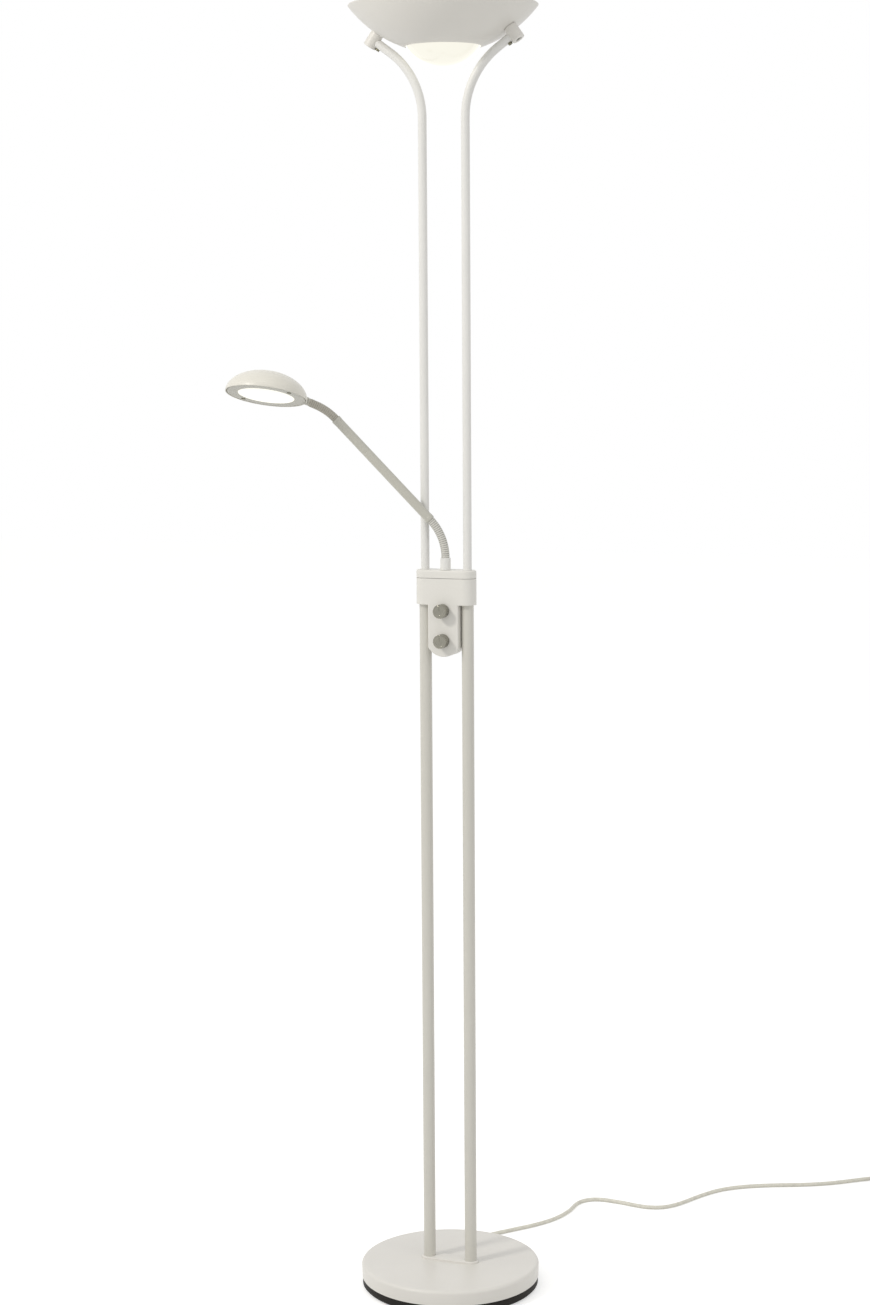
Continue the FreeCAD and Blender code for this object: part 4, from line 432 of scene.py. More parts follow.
def board_material(name, shade, dot):
    """A lacquered circuit board with small square parts in rows."""
    material, tree, bsdf, place = shader(name, {"Roughness": 0.35})
    parts = cells(tree, place, 170, distance="CHEBYCHEV", Randomness=0.35)
    add_tone(tree, bsdf, parts, [(0.0, dot), (0.2, dot), (0.24, shade), (1.0, shade)])
    add_bump(tree, bsdf, [(parts, 0.3, 0.0005)])
    return material


def cord_material(name, shade):
    """Flexible plastic sheath: satin, with faint scuffs along it."""
    material, tree, bsdf, place = shader(name, {"Roughness": 0.5})
    scuffs = noise(tree, place, 160, 4)
    add_tone(tree, bsdf, scuffs, [(0.25, dimmed(shade, 0.84)), (0.6, shade), (1.0, shade)])
    add_bump(tree, bsdf, [(noise(tree, place, 900, 2), 0.1, 0.0002)])
    return material


materials_made = {}


def finish(name):
    """One of the lamp's finishes, made the first time that it is asked for."""
    look = settings().finish
    rows = {
        "lacquer": (lacquer_material, "white_lacquer", look.lacquer, 0.42),
        "upper": (lacquer_material, "upper_lacquer", look.upper, 0.38, 0.5),
        "lower": (lacquer_material, "lower_lacquer", look.lower, 0.36, 0.5),
        "arm": (lacquer_material, "arm_lacquer", look.arm, 0.34, 0.5),
        "ring": (lacquer_material, "ring_lacquer", look.ring, 0.42),
        "head": (lacquer_material, "head_lacquer", look.head, 0.38),
        "plastic": (lacquer_material, "white_box_plastic", look.plastic, 0.48, 0.7),
        "tray": (plastic_material, "black_tray_plastic", look.tray, 0.62, 900, 0.2),
        "power_unit": (plastic_material, "power_unit_case", (0.75, 0.75, 0.72), 0.5),
        "bush": (plastic_material, "bush_plastic", (0.72, 0.71, 0.66), 0.35, 400),
        "cast": (metal_material, "cast_iron", (0.16, 0.155, 0.15), 0.6, 0.5, 260),
        "zinc": (metal_material, "zinc_plate", (0.60, 0.60, 0.57), 0.32),
        "screw": (metal_material, "dark_screws", (0.20, 0.19, 0.13), 0.34),
        "chrome": (metal_material, "chrome", (0.30, 0.29, 0.245), 0.12, 0.02),
        "pins": (metal_material, "plated_pins", (0.74, 0.72, 0.66), 0.18),
        "aluminium": (
            metal_material, "bare_aluminium", (0.78, 0.78, 0.79), 0.35, 0.08, 700, (1, 1, 0.1),
        ),
        # For the necks the last value sets how dark the painted shade in the grooves is.
        "low_neck": (neck_material, "lower_neck_coat", look.low_neck, 0.35),
        "high_neck": (neck_material, "upper_neck_coat", look.high_neck, 0.7),
        "glass": (lit_material, "lit_glass", look.light, look.glow, 0.86, 0.12),
        "diffuser": (lit_material, "lit_diffuser", look.light, look.glow, 0.95),
        "board": (board_material, "control_board", (0.03, 0.20, 0.09), (0.02, 0.02, 0.02)),
        "led_board": (board_material, "led_board", (0.82, 0.82, 0.80), (0.9, 0.75, 0.2)),
        "felt": (felt_material, "black_felt", (0.03, 0.03, 0.03)),
        "cord": (cord_material, "cord_plastic", look.cord),
    }
    if name not in materials_made:
        maker, *values = rows[name]
        materials_made[name] = maker(*values)
    return materials_made[name]


def dress(piece, name):
    piece.data.materials.clear()
    piece.data.materials.append(finish(name))


def shown(piece, body, look, slot, *stands_for):
    """Gives a new piece its body and finish and hides the nodes it stands for; slot is not used.
    """
    dress(piece, look)
    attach(piece, body)
    if stands_for:
        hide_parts(*stands_for)


# ---------- arm geometry


def pivot(name):
    return Vector(JOINTS[name]["pos_m"])


def arc_way(rise, now, bend):
    """The way from rise a to rise b of an arc: bend (sin a - sin b), bend (cos b - cos a)."""
    return bend * (math.sin(rise) - np.sin(now)), bend * (np.cos(now) - math.cos(rise))


class ArmPlane:
    """The reading arm's plane: X outwards, Z up, Y towards the viewer, and its two bends."""

    def __init__(self):
        self.toward = Vector(JOINTS["lower_neck_bend"]["axis"])
        self.outward = self.toward.cross(UP)
        self.origin = pivot("arm_swivel")
        self.origin.z = 0
        ferrule_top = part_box("arm_ferrule")[1].z
        middle = self.flat(pivot("lower_neck_bend"))
        rise = middle.y - ferrule_top
        self.lower_turn = 4 * math.atan2(middle.x, rise)
        self.lower_bend = rise / math.sin(self.lower_turn / 2)
        self.lower_start = Vector((0, ferrule_top))
        self.tube_rise = math.pi / 2 - self.lower_turn
        arc = arc_way(math.pi / 2, self.tube_rise, self.lower_bend)
        self.lower_end = self.lower_start + Vector(arc)
        self.end_rise = math.asin(JOINTS["head_turn"]["axis"][2])
        self.flange = self.flat(pivot("head_turn"))
        self.upper_turn = self.tube_rise - self.end_rise
        end_way = Vector((math.cos(self.end_rise), math.sin(self.end_rise)))
        self.upper_end = self.flange - end_way * settings().sizes.neck_plug
        chord = (self.upper_end - self.flat(pivot("upper_neck_bend"))).length
        self.upper_bend = chord / (2 * math.sin(self.upper_turn / 4))
        arc = arc_way(self.tube_rise, self.end_rise, self.upper_bend)
        self.upper_start = self.upper_end - Vector(arc)

    def flat(self, spot):
        """A point of the lamp as (outwards, up) in the arm's plane."""
        return Vector(((spot - self.origin).dot(self.outward), spot.z))

    def lift(self, spot):
        """A point of the arm's plane as a point of the lamp."""
        return self.origin + self.outward * spot.x + UP * spot.y

    def lift_way(self, rise):
        """The direction in the lamp that rises by an angle in the arm's plane."""
        return self.outward * math.cos(rise) + UP * math.sin(rise)

    def neck_line(self, start, rise, bend, turn, plug, spacing=0.0002):
        """Points and run lengths along straight end, arc and straight end."""
        arc = bend * turn
        run = np.arange(-plug, arc + plug + spacing / 2, spacing)
        now = rise - np.clip(run, 0, arc) / bend
        out, up = arc_way(rise, now, bend)
        extra = run - np.clip(run, 0, arc)
        out += start.x + extra * np.cos(now)
        up += start.y + extra * np.sin(now)
        axes = np.array([self.outward, UP])
        return np.array(self.origin) + np.stack([out, up], 1) @ axes, run, arc


# ---------- operators

FRAME_HEIGHT_MM = 36
FLOOR_REACH = 12.0
FLOOR_LIFT = 0.5
ROOM_LIGHT = 0.62


class LampOperator:
    """What every operator of this add-on shares."""

    bl_options = {"REGISTER", "UNDO"}

    def execute(self, context):
        self.build()
        return {"FINISHED"}


class LAMP_OT_stage(LampOperator, Operator):
    """Set the camera at the photograph's angle, the soft lights, and the pale floor"""

    bl_idname = "lamp.stage"
    bl_label = "Camera, lights and floor"

    def build(self):
        make_camera()
        make_lights()
        make_floor()


def make_camera():
    """The photograph's camera: turned sideways, pitched down and rolled from a level view."""
    view = settings().view
    right = Vector((math.cos(view.azimuth), math.sin(view.azimuth), 0))
    away = Vector((-math.sin(view.azimuth), math.cos(view.azimuth), 0))
    side, front = math.sin(view.yaw), math.cos(view.yaw)
    down, level = math.sin(view.pitch), math.cos(view.pitch)
    x = right * front - away * side
    y = right * (side * down) + away * (front * down) + UP * level
    z = -(right * (side * level) + away * (front * level) - UP * down)
    turn, lift = math.cos(view.roll), math.sin(view.roll)
    camera = bpy.data.cameras.new("camera")
    camera.sensor_fit = "VERTICAL"
    camera.sensor_height = FRAME_HEIGHT_MM
    camera.lens = view.focal
    camera.clip_end = 50
    holder = bpy.data.objects.new("camera", camera)
    place = away * -view.distance + UP * view.height
    holder.matrix_world = axes_matrix(place, x * turn - y * lift, x * lift + y * turn, z)
    bpy.context.scene.collection.objects.link(holder)
    bpy.context.scene.camera = holder


def add_lamp(name, place, aim, size, power):
    """A soft, slightly warm panel of light that faces a point."""
    light = bpy.data.lights.new(name, "AREA")
    light.shape = "RECTANGLE"
    light.size, light.size_y = size
    light.energy = power
    light.color = (1.0, 0.965, 0.91)
    holder = bpy.data.objects.new(name, light)
    holder.location = place
    holder.rotation_euler = (Vector(aim) - Vector(place)).to_track_quat("-Z", "Y").to_euler()
    bpy.context.scene.collection.objects.link(holder)


def seen_directly(tree):
    """One where the camera, a mirror image or clear glass shows a place, otherwise nought."""
    path = tree.nodes.new("ShaderNodeLightPath")
    last = path.outputs["Is Camera Ray"]
    for name in ("Is Glossy Ray", "Is Transmission Ray"):
        either = node(tree, "ShaderNodeMath", operation="MAXIMUM")
        tree.links.new(last, either.inputs[0])
        tree.links.new(path.outputs[name], either.inputs[1])
        last = either.outputs["Value"]
    return last


def make_lights():
    """Four panels in a room that the camera sees white and that lights the lamp less."""
    world = bpy.data.worlds.new("studio")
    bpy.context.scene.world = world
    world.use_nodes = True
    tree = world.node_tree
    ground = tree.nodes["Background"]
    ground.inputs["Color"].default_value = (1.0, 1.0, 1.0, 1)
    level = node(tree, "ShaderNodeMapRange")
    level.inputs["To Min"].default_value = ROOM_LIGHT
    level.inputs["To Max"].default_value = 1.0
    tree.links.new(seen_directly(tree), level.inputs["Value"])
    tree.links.new(level.outputs["Result"], ground.inputs["Strength"])
    add_lamp("key_light", (-1.7, -2.3, 2.9), (0, 0, 0.9), (0.5, 0.5), 40)
    add_lamp("left_light", (-2.8, -0.7, 1.6), (0, 0, 1.0), (1.0, 2.6), 4)
    add_lamp("right_light", (2.8, -1.0, 1.8), (0, 0, 1.0), (1.0, 2.2), 8)
    add_lamp("top_light", (0.4, -1.0, 3.6), (0, 0, 0.8), (1.4, 1.4), 5)
    bpy.context.scene.view_settings.view_transform = "Standard"


def make_floor():
    """A wide pale floor, lifted to white for the camera where nothing shades it."""
    edge = np.linspace(-FLOOR_REACH, FLOOR_REACH, 5)
    x, y = np.meshgrid(edge, edge, indexing="ij")
    floor = surface("floor", np.stack([x, y, 0 * x], 2), wrapped=False, closed=False)
    values = {"Roughness": 0.9, "Specular IOR Level": 0.0, "Emission Color": (1, 1, 1, 1)}
    material, tree, bsdf, place = shader("pale_floor", values)
    cloud = noise(tree, place, 0.8, 2)
    add_tone(tree, bsdf, cloud, [(0.0, (0.80, 0.80, 0.79)), (1.0, (0.82, 0.82, 0.81))])
    lift = node(tree, "ShaderNodeMath", operation="MULTIPLY")
    lift.inputs[1].default_value = FLOOR_LIFT
    tree.links.new(seen_directly(tree), lift.inputs[0])
    tree.links.new(lift.outputs["Value"], bsdf.inputs["Emission Strength"])
    floor.data.materials.append(material)


class LAMP_OT_base(LampOperator, Operator):
    """Make the base's cover and tray"""

    bl_idname = "lamp.base"
    bl_label = "Base"

    def build(self):
        make_cover()
        make_tray()


def make_cover():
    """A round sheet cover, its top edge rounded and its skirt drawn in a little."""
    sizes = settings().sizes
    low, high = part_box("base_cover")
    wall, edge, draft = sizes.cover_wall, sizes.cover_round, 0.0009
    outer = high.x
    corners = [
        (0, high.z - wall), (outer - wall, high.z - wall), (outer - wall - draft, low.z),
        (outer - draft, low.z), (outer, high.z), (0, high.z),
    ]
    profile = rounded_outline(corners, [edge - wall, 0.0003, 0.0005, edge], 10)
    cover = turned("cover_skin", profile, steps=240)
    shown(cover, "stand", "lacquer", "white_lacquer", "base_cover")


def make_tray():
    """A black dish under the cover, with an inner lip that goes up into it."""
    low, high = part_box("base_tray")
    wall, lip, chamfer, gap = 0.002, 0.002, 0.003, 0.0003
    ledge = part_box("base_cover")[0].z - gap
    inner = high.x - lip
    corners = [
        (0, low.z), (high.x - chamfer, low.z), (high.x, low.z + chamfer),
        (high.x, ledge), (inner, ledge), (inner, high.z), (inner - wall, high.z),
        (inner - wall, low.z + wall), (0, low.z + wall),
    ]
    radii = [0.001, 0.001, 0.0004, 0.0002, 0.0004, 0.0004, 0.001]
    tray = turned("tray_skin", rounded_outline(corners, radii, 6), steps=240)
    shown(tray, "stand", "tray", "black_plastic", "base_tray")


class LAMP_OT_bowl(LampOperator, Operator):
    """Make the bowl and the lit lens under it"""

    bl_idname = "lamp.bowl"
    bl_label = "Bowl and lens"

    def build(self):
        make_bowl()
        make_lens()


def make_bowl():
    """A zone of a sphere: r = sqrt(R^2 - (c - z)^2), with the inner wall R - wall.

    c lies above the rim by (rim^2 - foot^2 - depth^2) / (2 depth), and R reaches the rim.
    """
    sizes = settings().sizes
    wall, foot = sizes.bowl_wall, sizes.bowl_foot
    low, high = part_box("bowl_shell")
    top, bottom, rim = high.z, low.z, high.y
    depth = top - bottom
    rise = (rim**2 - foot**2 - depth**2) / (2 * depth)
    centre, ball = top + rise, math.hypot(rim, rise)
    bead_drop, sill, bevel = 0.0008, 0.003, 0.0004
    outer_z = np.linspace(bottom, top - bead_drop, 60)
    inner_z = np.linspace(top - bead_drop, bottom + sill, 60)
    outer = np.stack([np.sqrt(ball**2 - (centre - outer_z) ** 2), outer_z], 1)
    inner = np.stack([np.sqrt((ball - wall) ** 2 - (centre - inner_z) ** 2), inner_z], 1)
    middle = 0.5 * (outer[-1] + inner[0])
    half = 0.5 * np.linalg.norm(outer[-1] - inner[0])
    turn = np.linspace(0, math.pi, 9)[1:-1]
    bead = middle + half * np.stack([np.cos(turn), np.sin(turn)], 1)
    opening = foot - sizes.bowl_lip
    start = np.array([[opening, bottom + bevel], [opening + bevel, bottom]])
    end = np.array([[opening, bottom + sill], [opening, bottom + bevel]])
    profile = np.vstack([start, outer, bead, inner, end])
    bowl = turned("bowl_skin", profile, steps=240, sharp=50)
    shown(bowl, "stand", "lacquer", "white_lacquer", "bowl_shell")


def make_lens():
    """A shallow glass cap with a plain flange that rests inside the bowl's opening."""
    sizes = settings().sizes
    low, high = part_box("downlight_lens")
    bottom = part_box("bowl_shell")[0].z
    wall, gap, depth = 0.002, 0.0003, bottom - low.z
    rim = sizes.bowl_foot - sizes.bowl_lip - gap
    outer = cap(low.z, rim, depth, 40)
    inner = cap(low.z + wall, rim - wall, depth - wall, 40)[::-1]
    corners = [
        (rim, bottom), (rim, high.z - wall), (high.x, high.z - wall), (high.x, high.z),
        (rim - wall, high.z), (rim - wall, bottom),
    ]
    flange = rounded_outline(corners, [0.0003, 0.0003, 0.0003, 0.0005], 4)
    lens = turned("lens_glass", np.vstack([outer, flange, inner]), steps=160)
    shown(lens, "stand", "glass", "opal_glass", "downlight_lens")


class LAMP_OT_reading_arm(LampOperator, Operator):
    """Make the two flexible necks and the arm's tube"""

    bl_idname = "lamp.reading_arm"
    bl_label = "Reading arm"

    def build(self):
        plane = ArmPlane()
        plug = settings().sizes.neck_plug
        short_of_flange = 0.0015
        lower_arc = (plane.lower_start, math.pi / 2, plane.lower_bend, plane.lower_turn)
        upper_arc = (plane.upper_start, plane.tube_rise, plane.upper_bend, plane.upper_turn)
        lower = make_neck("lower_neck_strip", plane, lower_arc, plug, 0)
        upper = make_neck("upper_neck_strip", plane, upper_arc, plug, plug - short_of_flange)
        dress(lower, "low_neck")
        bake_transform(lower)
        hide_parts("lower_neck")
        dress(upper, "high_neck")
        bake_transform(upper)
        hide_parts("upper_neck")
        make_arm_tube(plane)


def make_neck(name, plane, bend, plug, beyond):
    """Wound strip: radius = groove + (crest - groove) |sin(pi run / pitch)|^0.55.

    The ribs run along the bend and on beyond it. Each point of the mesh keeps how deep in a
    groove its ring lies, from 0 on a crest to 1, which the material paints as shade.
    """
    sizes = settings().sizes
    centres, run, arc = plane.neck_line(*bend, plug)
    count = max(1, round((arc + beyond) / sizes.neck_pitch))
    pitch = (arc + beyond) / count
    ribbed = (run >= 0) & (run <= arc + beyond)
    wave = np.abs(np.sin(math.pi * run / pitch)) ** 0.55
    radii = np.where(
        ribbed,
        sizes.neck_core + (sizes.neck_crest - sizes.neck_core) * wave,
        sizes.neck_core,
    )
    closed_ends = np.concatenate([[0], radii, [0]])
    line = np.vstack([centres[:1], centres, centres[-1:]])
    piece = swept_closed(name, line, closed_ends, plane.toward)
    spots = np.empty(len(piece.data.vertices) * 3)
    piece.data.vertices.foreach_get("co", spots)
    axes = np.array([plane.outward, UP]).T
    flat, middles = spots.reshape(-1, 3) @ axes, centres @ axes
    nearest = ((flat[:, None] - middles) ** 2).sum(2).argmin(1)
    # Groove depth per point, for the painted shade in the neck's material.
    depth = np.where(ribbed, 1 - wave, 0.0)[nearest]
    groove = piece.data.attributes.new("groove", "FLOAT", "POINT")
    groove.data.foreach_set("value", depth.astype(np.float32))
    return piece


def swept_closed(name, line, radii, sideways):
    """A swept tube whose first and last rings are shut to a point."""
    along = np.gradient(line[1:-1], axis=0)
    along = np.vstack([along[:1], along, along[-1:]])
    along /= np.linalg.norm(along, axis=1, keepdims=True)
    binormal = np.broadcast_to(np.array(sideways, float), line.shape)
    normal = np.cross(binormal, along)
    turn = np.linspace(0, 2 * math.pi, 40, endpoint=False)[None, :, None]
    ring = np.cos(turn) * normal[:, None] + np.sin(turn) * binormal[:, None]
    grid = line[:, None] + radii[:, None, None] * ring
    return surface(name, grid, sharp=50)


def make_arm_tube(plane):
    """A plain tube with a raised collar at each end and a fine seam line on its way."""
    sizes = settings().sizes
    start, end = plane.lower_end, plane.upper_start
    span = (end - start).length
    tube, collar = sizes.arm_radius, sizes.collar_radius
    seam, groove, half_groove = sizes.arm_seam, 0.0003, 0.0004
    bore, chamfer, collar_end, collar_foot = 0.0055, 0.0002, 0.005, 0.0054
    corners = [
        (bore, chamfer), (bore + chamfer, 0), (collar, 0), (collar, collar_end),
        (tube, collar_foot), (tube, seam - half_groove), (tube - groove, seam),
        (tube, seam + half_groove), (tube, span - collar_foot),
        (collar, span - collar_end), (collar, span), (bore + chamfer, span),
        (bore, span - chamfer), (bore, chamfer),
    ]
    radii = [0, 0.0005, 0.0002, 0.0002, 0.0001, 0.0001, 0.0001, 0.0002, 0.0002, 0.0005, 0, 0]
    profile = rounded_outline(corners, radii, 5)
    way = plane.lift_way(plane.tube_rise)
    place = axes_matrix(plane.lift(start), plane.toward, way.cross(plane.toward), way)
    piece = turned("arm_tube_skin", profile, place, steps=72)
    shown(piece, "reading_arm", "arm", "white_lacquer", "arm_tube")


class LAMP_OT_reading_head(LampOperator, Operator):
    """Make the reading head's dome, ring and lit diffuser"""

    bl_idname = "lamp.reading_head"
    bl_label = "Reading head"

    def build(self):
        plane = ArmPlane()
        flange_to_wall = 0.0047
        wall = plane.lift(plane.flange) + plane.lift_way(plane.end_rise) * flange_to_wall
        dome = dome_frame(plane, wall)
        make_dome(dome)
        make_boss(plane, wall)
        make_ring(dome)
        make_diffuser(dome)


def dome_frame(plane, wall):
    """The dome's frame, Z along its own axis, from the place where the neck meets its wall."""
    sizes = settings().sizes
    tip, lean = sizes.dome_tip, sizes.dome_lean
    x = plane.outward * math.cos(lean) + UP * math.sin(lean)
    raised = UP * math.cos(lean) - plane.outward * math.sin(lean)
    y = plane.toward * math.cos(tip) + raised * math.sin(tip)
    z = raised * math.cos(tip) - plane.toward * math.sin(tip)
    level, entry = sizes.neck_above_rim, sizes.neck_entry
    inwards = sizes.dome_radius * math.sqrt(1 - (level / sizes.dome_height) ** 2)
    flat = x * math.cos(entry) + y * math.sin(entry)
    return axes_matrix(wall + flat * inwards - z * level, x, y, z)


def make_dome(dome):
    """Half an egg: r = a sin t and z = b cos t, inside it the same less the wall.

    A half round joins the two skins at the rim.
    """
    sizes = settings().sizes
    fall = np.linspace(0, math.pi / 2, 56)
    wall = sizes.dome_wall

    def skin(inset):
        wide, high = sizes.dome_radius - inset, sizes.dome_height - inset
        return np.stack([wide * np.sin(fall), high * np.cos(fall)], 1)

    turn = np.linspace(0, math.pi, 9)[1:-1]
    middle = sizes.dome_radius - wall / 2
    bead = np.stack([middle + wall / 2 * np.cos(turn), wall / 2 * (1 - np.sin(turn))], 1)
    outer, inner = skin(0.0), skin(wall)
    outer, inner = outer[outer[:, 1] > wall / 2], inner[inner[:, 1] > wall / 2]
    profile = np.vstack([outer, bead, inner[::-1]])
    piece = turned("dome_skin", profile, dome, steps=200, sharp=60)
    shown(piece, "reading_head", "head", "white_lacquer", "head_dome")


def make_boss(plane, wall):
    """The round boss by which the dome hangs, with a softened outer edge."""
    sizes = settings().sizes
    radius, show = sizes.boss_radius, sizes.boss_show
    bore, inner_end, seam = 0.00265, 0.004, 0.001
    corners = [
        (bore, seam), (bore, -show), (radius, -show), (radius, inner_end),
        (bore, inner_end), (bore, seam),
    ]
    profile = rounded_outline(corners, [0.0002, 0.0006, 0, 0], 6)
    way = plane.lift_way(plane.end_rise)
    place = axes_matrix(wall, plane.toward, way.cross(plane.toward), way)
    piece = turned("dome_boss", profile, place, steps=72)
    shown(piece, "reading_head", "arm", "white_lacquer")


def ring_radii():
    """The ring's outer radius, a gap inside the dome's wall, and its window's radius."""
    sizes = settings().sizes
    gap = 0.0012
    outer = sizes.dome_radius - sizes.dome_wall - gap
    return outer, outer - sizes.ring_width


def make_ring(dome):
    """A flat ring with softly rounded edges, inside the dome's mouth."""
    outer, window = ring_radii()
    thickness = 0.0012
    low = settings().sizes.ring_recess
    high, middle = low + thickness, low + thickness / 2
    corners = [
        (outer, middle), (outer, high), (window, high), (window, low), (outer, low),
        (outer, middle),
    ]
    profile = rounded_outline(corners, [0.0003, 0.0003, 0.0003, 0.0003], 5)
    piece = turned("ring_skin", profile, dome, steps=160)
    # Its grey lacquer is painted shade.
    shown(piece, "reading_head", "ring", "white_lacquer", "head_ring")


def make_diffuser(dome):
    """A lit disc that bulges out of the ring, with a step and a flange behind it."""
    window = ring_radii()[1]
    gap, overlap, bulge, plate = 0.0003, 0.0012, 0.0016, 0.0008
    edge, flange = window - gap, window + overlap
    face = settings().sizes.ring_recess
    seat = face + 0.00125
    corners = [
        (edge, face), (edge, seat), (flange, seat), (flange, seat + plate),
        (0, seat + plate),
    ]
    front = cap(face - bulge, edge, bulge, 24)
    back = rounded_outline(corners, [0, 0.0001, 0.0003], 4)
    piece = turned("diffuser_disc", np.vstack([front, back[1:]]), dome, steps=120)
    shown(piece, "reading_head", "diffuser", "opal_plastic", "head_diffuser")


class LAMP_OT_knobs(LampOperator, Operator):
    """Make the two fluted chrome knobs"""

    bl_idname = "lamp.knobs"
    bl_label = "Dimmer knobs"

    def build(self):
        for name in ("main", "reading"):
            make_knob(name)


def refined(profile, spacing):
    """A profile with each of its lines cut into equal parts of about a spacing."""
    steps = np.diff(profile, axis=0)
    counts = np.maximum(1, (np.linalg.norm(steps, axis=1) / spacing).astype(int))
    part = np.arange(counts.sum()) - np.repeat(np.cumsum(counts) - counts, counts) + 1
    share = (part / np.repeat(counts, counts))[:, None]
    ends = np.repeat(profile[:-1], counts, axis=0) + np.repeat(steps, counts, axis=0) * share
    return np.vstack([profile[:1], ends])


def make_knob(name):
    """Fluted skirt: radius = r(z) - depth w(z) (1 - |sin(n t / 2)|^0.7), with a dished end.

    A short line is pressed into the end, at the side that points up.
    """
    sizes = settings().sizes
    low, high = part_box(f"{name}_knob")
    radius, reach, flutes = sizes.knob_radius, sizes.knob_length, sizes.knob_flutes
    hollow, dish = 0.0052, 0.0004
    flute_depth, flute_start, flute_fade = 0.00055, 0.0006, 0.001
    mark_depth, mark_half_width, mark_reach = 0.0003, 0.0004, 0.0006
    corners = [
        (0, hollow), (radius * 0.76, hollow), (radius * 0.76, 0), (radius, 0),
        (radius, reach), (radius * 0.62, reach), (radius * 0.56, reach - dish),
        (0, reach - dish),
    ]
    radii = [0.0002, 0.0003, 0.0004, 0.0012, 0.0002, 0.0002]
    profile = refined(rounded_outline(corners, radii, 8), 0.0012)
    turn = np.linspace(0, 2 * math.pi, flutes * 12, endpoint=False)
    fluted = np.clip((profile[:, 0] - radius * 0.9) / (radius * 0.1), 0, 1)
    fluted *= np.clip((profile[:, 1] - flute_start) / flute_fade, 0, 1)
    wave = 1 - np.abs(np.sin(flutes * turn / 2)) ** 0.7
    r = profile[:, :1] - flute_depth * fluted[:, None] * wave
    x, y, z = r * np.cos(turn), r * np.sin(turn), profile[:, 1:] + 0 * turn
    marked = (np.abs(x) < mark_half_width) & (y > radius * 0.1) & (z > reach - mark_reach)
    grid = np.stack([x, y, z - mark_depth * marked], 2)
    place = axes_matrix(Vector((0, high.y, (low.z + high.z) / 2)), ACROSS, UP, -BACK)
    body = "main_control" if name == "main" else "reading_control"
    piece = surface(f"{name}_knob_skin", placed(grid, place), sharp=40)
    shown(piece, body, "chrome", "knob_chrome", f"{name}_knob")


# The loose run on the floor, from the strain relief's tip to the coil, in metres.
CORD_ROUTE = [
    (-0.016, 0.15498, 0.0075),
    (-0.0155, 0.17568, 0.0054),
    (-0.006, 0.200, 0.0033),
    (0.017, 0.229, 0.0031),
    (0.040, 0.257, 0.0031),
    (0.058, 0.285, 0.0031),
    (0.069, 0.314, 0.0031),
    (0.074, 0.345, 0.0031),
    (0.0735, 0.377, 0.0031),
    (0.084, 0.3964, 0.0031),
    (0.103, 0.406, 0.0031),
    (0.140, 0.402, 0.0031),
    (0.178, 0.393, 0.0031),
    (0.206, 0.400, 0.0031),
    (0.226, 0.425, 0.0031),
    (0.247, 0.474, 0.0031),
    (0.270, 0.513, 0.0031),
    (0.302, 0.540, 0.0031),
    (0.345, 0.562, 0.0031),
    (0.392, 0.580, 0.0031),
    (0.434, 0.604, 0.0031),
    (0.475, 0.638, 0.0034),
    (0.5169, 0.6652, 0.0042),
]
COIL_QUARTERS = 7
STEPS_PER_QUARTER = 4


class LAMP_OT_cord(LampOperator, Operator):
    """Make the mains cord with its coil and strain relief, and colour its plug"""

    bl_idname = "lamp.cord"
    bl_label = "Mains cord"

    def build(self):
        make_relief()
        plug, tie, pins = (frame["nodes"][name] for name in ("cord_plug", "cord_tie", "plug_pins"))
        dress(plug, "cord")
        dress(tie, "cord")
        dress(pins, "pins")
        make_cord()


def coil_points(entry, heading):
    """Points of the coil: clockwise turns, spiralling in below and out above.

    With q the turn in quarters, the radius falls from R by step / 4 a quarter, the height
    rises by one step while the spiral reverses, and the last quarter drops to the plug.
    """
    sizes = settings().sizes
    outer, step, low = sizes.coil_radius, sizes.coil_step, entry[2]
    inner = outer - step * COIL_QUARTERS / 4
    turnover = COIL_QUARTERS + 2
    last = COIL_QUARTERS + turnover
    plug_level = sum(corner.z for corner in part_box("cord_plug")) / 2
    leaving, tail = last + 0.5, last + 1.1
    keys = [0, COIL_QUARTERS, COIL_QUARTERS + 1, turnover, last, leaving, tail]
    tuck = 0.0013
    radii = [outer, inner, inner - tuck, inner, outer, outer + step * 0.25, outer + step * 1.6]
    high = low + step
    drop = high - (high - plug_level) * 0.12
    levels = [low, low, (low + high) / 2, high, high, drop, plug_level]
    quarters = np.append(np.arange(0, tail, 1 / STEPS_PER_QUARTER), tail)
    swell = 2 / (1 + math.cos(math.pi / 4 / STEPS_PER_QUARTER))
    radius = np.interp(quarters, keys, radii) * swell
    level = np.interp(quarters, keys, levels)
    flat = np.array([heading[0], heading[1]]) / math.hypot(heading[0], heading[1])
    start = np.array(entry[:2]) + flat * sizes.cord_diameter
    centre = start + np.array([flat[1], -flat[0]]) * outer
    first = math.atan2(start[1] - centre[1], start[0] - centre[0])
    turn = first - quarters * math.pi / 2
    around = centre + radius[:, None] * np.stack([np.cos(turn), np.sin(turn)], 1)
    return np.column_stack([around, level])


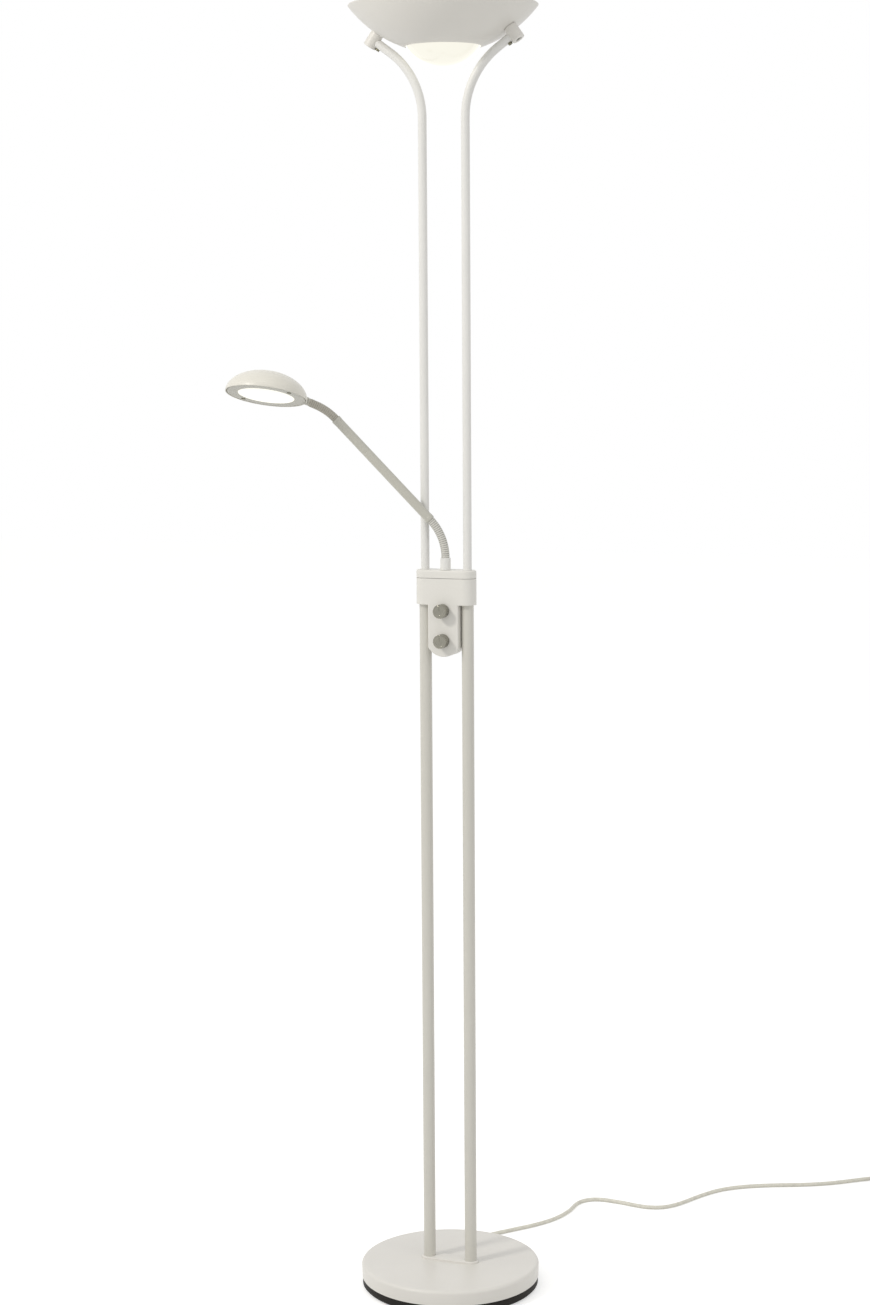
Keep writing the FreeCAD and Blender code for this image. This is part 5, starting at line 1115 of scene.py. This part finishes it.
def make_cord():
    """A round cord along one smooth curve, from the strain relief to the plug."""
    sizes = settings().sizes
    route = np.array(CORD_ROUTE)
    coil = coil_points(route[-1], route[-1] - route[-2])
    end_way = coil[-1] - coil[-2]
    into_plug = sizes.cord_diameter
    tail = coil[-1] + end_way / np.linalg.norm(end_way) * into_plug
    points = np.vstack([route, coil[1:], tail])
    curve = bpy.data.curves.new("mains_cord", "CURVE")
    curve.dimensions = "3D"
    spline = curve.splines.new("NURBS")
    spline.points.add(len(points) - 1)
    spline.points.foreach_set("co", np.column_stack([points, np.ones(len(points))]).ravel())
    spline.order_u = 3
    spline.use_endpoint_u = True
    spline.resolution_u = 8
    curve.bevel_depth = sizes.cord_diameter / 2
    curve.bevel_resolution = 5
    curve.use_fill_caps = True
    cord = bpy.data.objects.new("mains_cord", curve)
    bpy.context.scene.collection.objects.link(cord)
    curve.materials.append(finish("cord"))
    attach(cord, "stand")
    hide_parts("cord_lead", "cord_coil")


def make_relief():
    """A tapered strain relief: radius falls from root to tip, with six raised cosine grooves."""
    low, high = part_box("cord_relief")
    root, tip, reach, neck = 0.0050, 0.0038, 0.030, 0.00375
    flange, flange_start, flange_end, foot = 0.0062, 0.001, 0.0028, 0.0036
    groove_depth, grooves = 0.0006, 6
    wall_face = high.y - reach
    start = wall_face + foot
    run = np.linspace(0, high.y - start, 160)
    share = run / run[-1]
    turns = grooves * np.clip((share - 0.08) / 0.8, 0, 1)
    groove = 0.5 * (1 - np.cos(2 * math.pi * turns))
    radius = root + (tip - root) * share - groove_depth * groove
    corners = [
        (0, low.y), (neck, low.y), (neck, wall_face + flange_start),
        (flange, wall_face + flange_start), (flange, wall_face + flange_end),
        (root, start),
    ]
    inner = rounded_outline(corners, [0.0003, 0.0002, 0.0004, 0.0004], 4)
    outer = np.stack([radius, start + run], 1)
    profile = np.vstack([inner, outer[1:], [[0, high.y]]])
    centre = Vector(((low.x + high.x) / 2, 0, (low.z + high.z) / 2))
    place = axes_matrix(centre, ACROSS, -UP, BACK)
    piece = turned("relief_skin", profile, place, steps=48)
    shown(piece, "stand", "cord", "cord_plastic", "cord_relief")


NODE_FINISHES = {
    "lacquer": ("foot_plate", "bowl_fitting_left", "bowl_fitting_right"),
    "upper": ("upper_tube_left", "upper_tube_right", "arm_ferrule"),
    # The lower tubes' darker coat is painted shade.
    "lower": ("lower_tube_left", "lower_tube_right"),
    # The arm's greyer coat is partly painted shade.
    "arm": ("neck_end_fitting",),
    "screw": ("fitting_grub_screws", "head_screws"),
    "plastic": ("box_housing", "box_back_cover", "box_lid"),
    "felt": ("base_felt",),
    "cast": ("base_weight",),
    "zinc": (
        "mast_studs", "mast_nuts", "mast_spacers", "tube_couplers", "mast_bridge", "box_screws",
        "dimmer_nuts", "main_shaft", "reading_shaft", "bowl_bolts", "bowl_nuts",
        "carrier_screws", "arm_lock_nut", "head_mount_nut", "lamp_carrier",
    ),
    "power_unit": ("led_driver", "main_dimmer", "reading_dimmer"),
    "board": ("control_board",),
    "led_board": ("downlight_board", "uplight_board", "head_led_board"),
    "aluminium": ("lamp_heat_sink", "head_heat_sink"),
    "diffuser": ("uplight_diffuser",),
    "bush": ("swivel_bush",),
}


class LAMP_OT_finishes(LampOperator, Operator):
    """Give every carried-over piece its lacquer, plating or plastic"""

    bl_idname = "lamp.finishes"
    bl_label = "Finishes"

    def build(self):
        for look, names in NODE_FINISHES.items():
            for name in names:
                dress(frame["nodes"][name], look)


class LAMP_PT_panel(Panel):
    """The lamp's pieces, one button each"""

    bl_idname = "LAMP_PT_panel"
    bl_label = "Floor lamp"
    bl_space_type = "VIEW_3D"
    bl_region_type = "UI"
    bl_category = "Lamp"

    def draw(self, context):
        for operator in OPERATORS:
            self.layout.operator(operator.bl_idname)
        for group in (settings().finish, settings().sizes, settings().view):
            column = self.layout.column()
            for name in group.bl_rna.properties.keys():
                if name not in ("rna_type", "name"):
                    column.prop(group, name, text=name.replace("_", " ").capitalize())


OPERATORS = (
    LAMP_OT_stage,
    LAMP_OT_cord,
    LAMP_OT_base,
    LAMP_OT_bowl,
    LAMP_OT_knobs,
    LAMP_OT_reading_arm,
    LAMP_OT_reading_head,
    LAMP_OT_finishes,
)
CLASSES = (LampFinish, LampSizes, LampView, LampSettings, *OPERATORS, LAMP_PT_panel)


def register():
    for cls in CLASSES:
        bpy.utils.register_class(cls)
    bpy.types.Scene.floor_lamp = PointerProperty(type=LampSettings)


def unregister():
    del bpy.types.Scene.floor_lamp
    for cls in reversed(CLASSES):
        bpy.utils.unregister_class(cls)


def main():
    register()
    for operator in OPERATORS:
        group, name = operator.bl_idname.split(".")
        getattr(getattr(bpy.ops, group), name)()


if __name__ == "__main__":
    main()
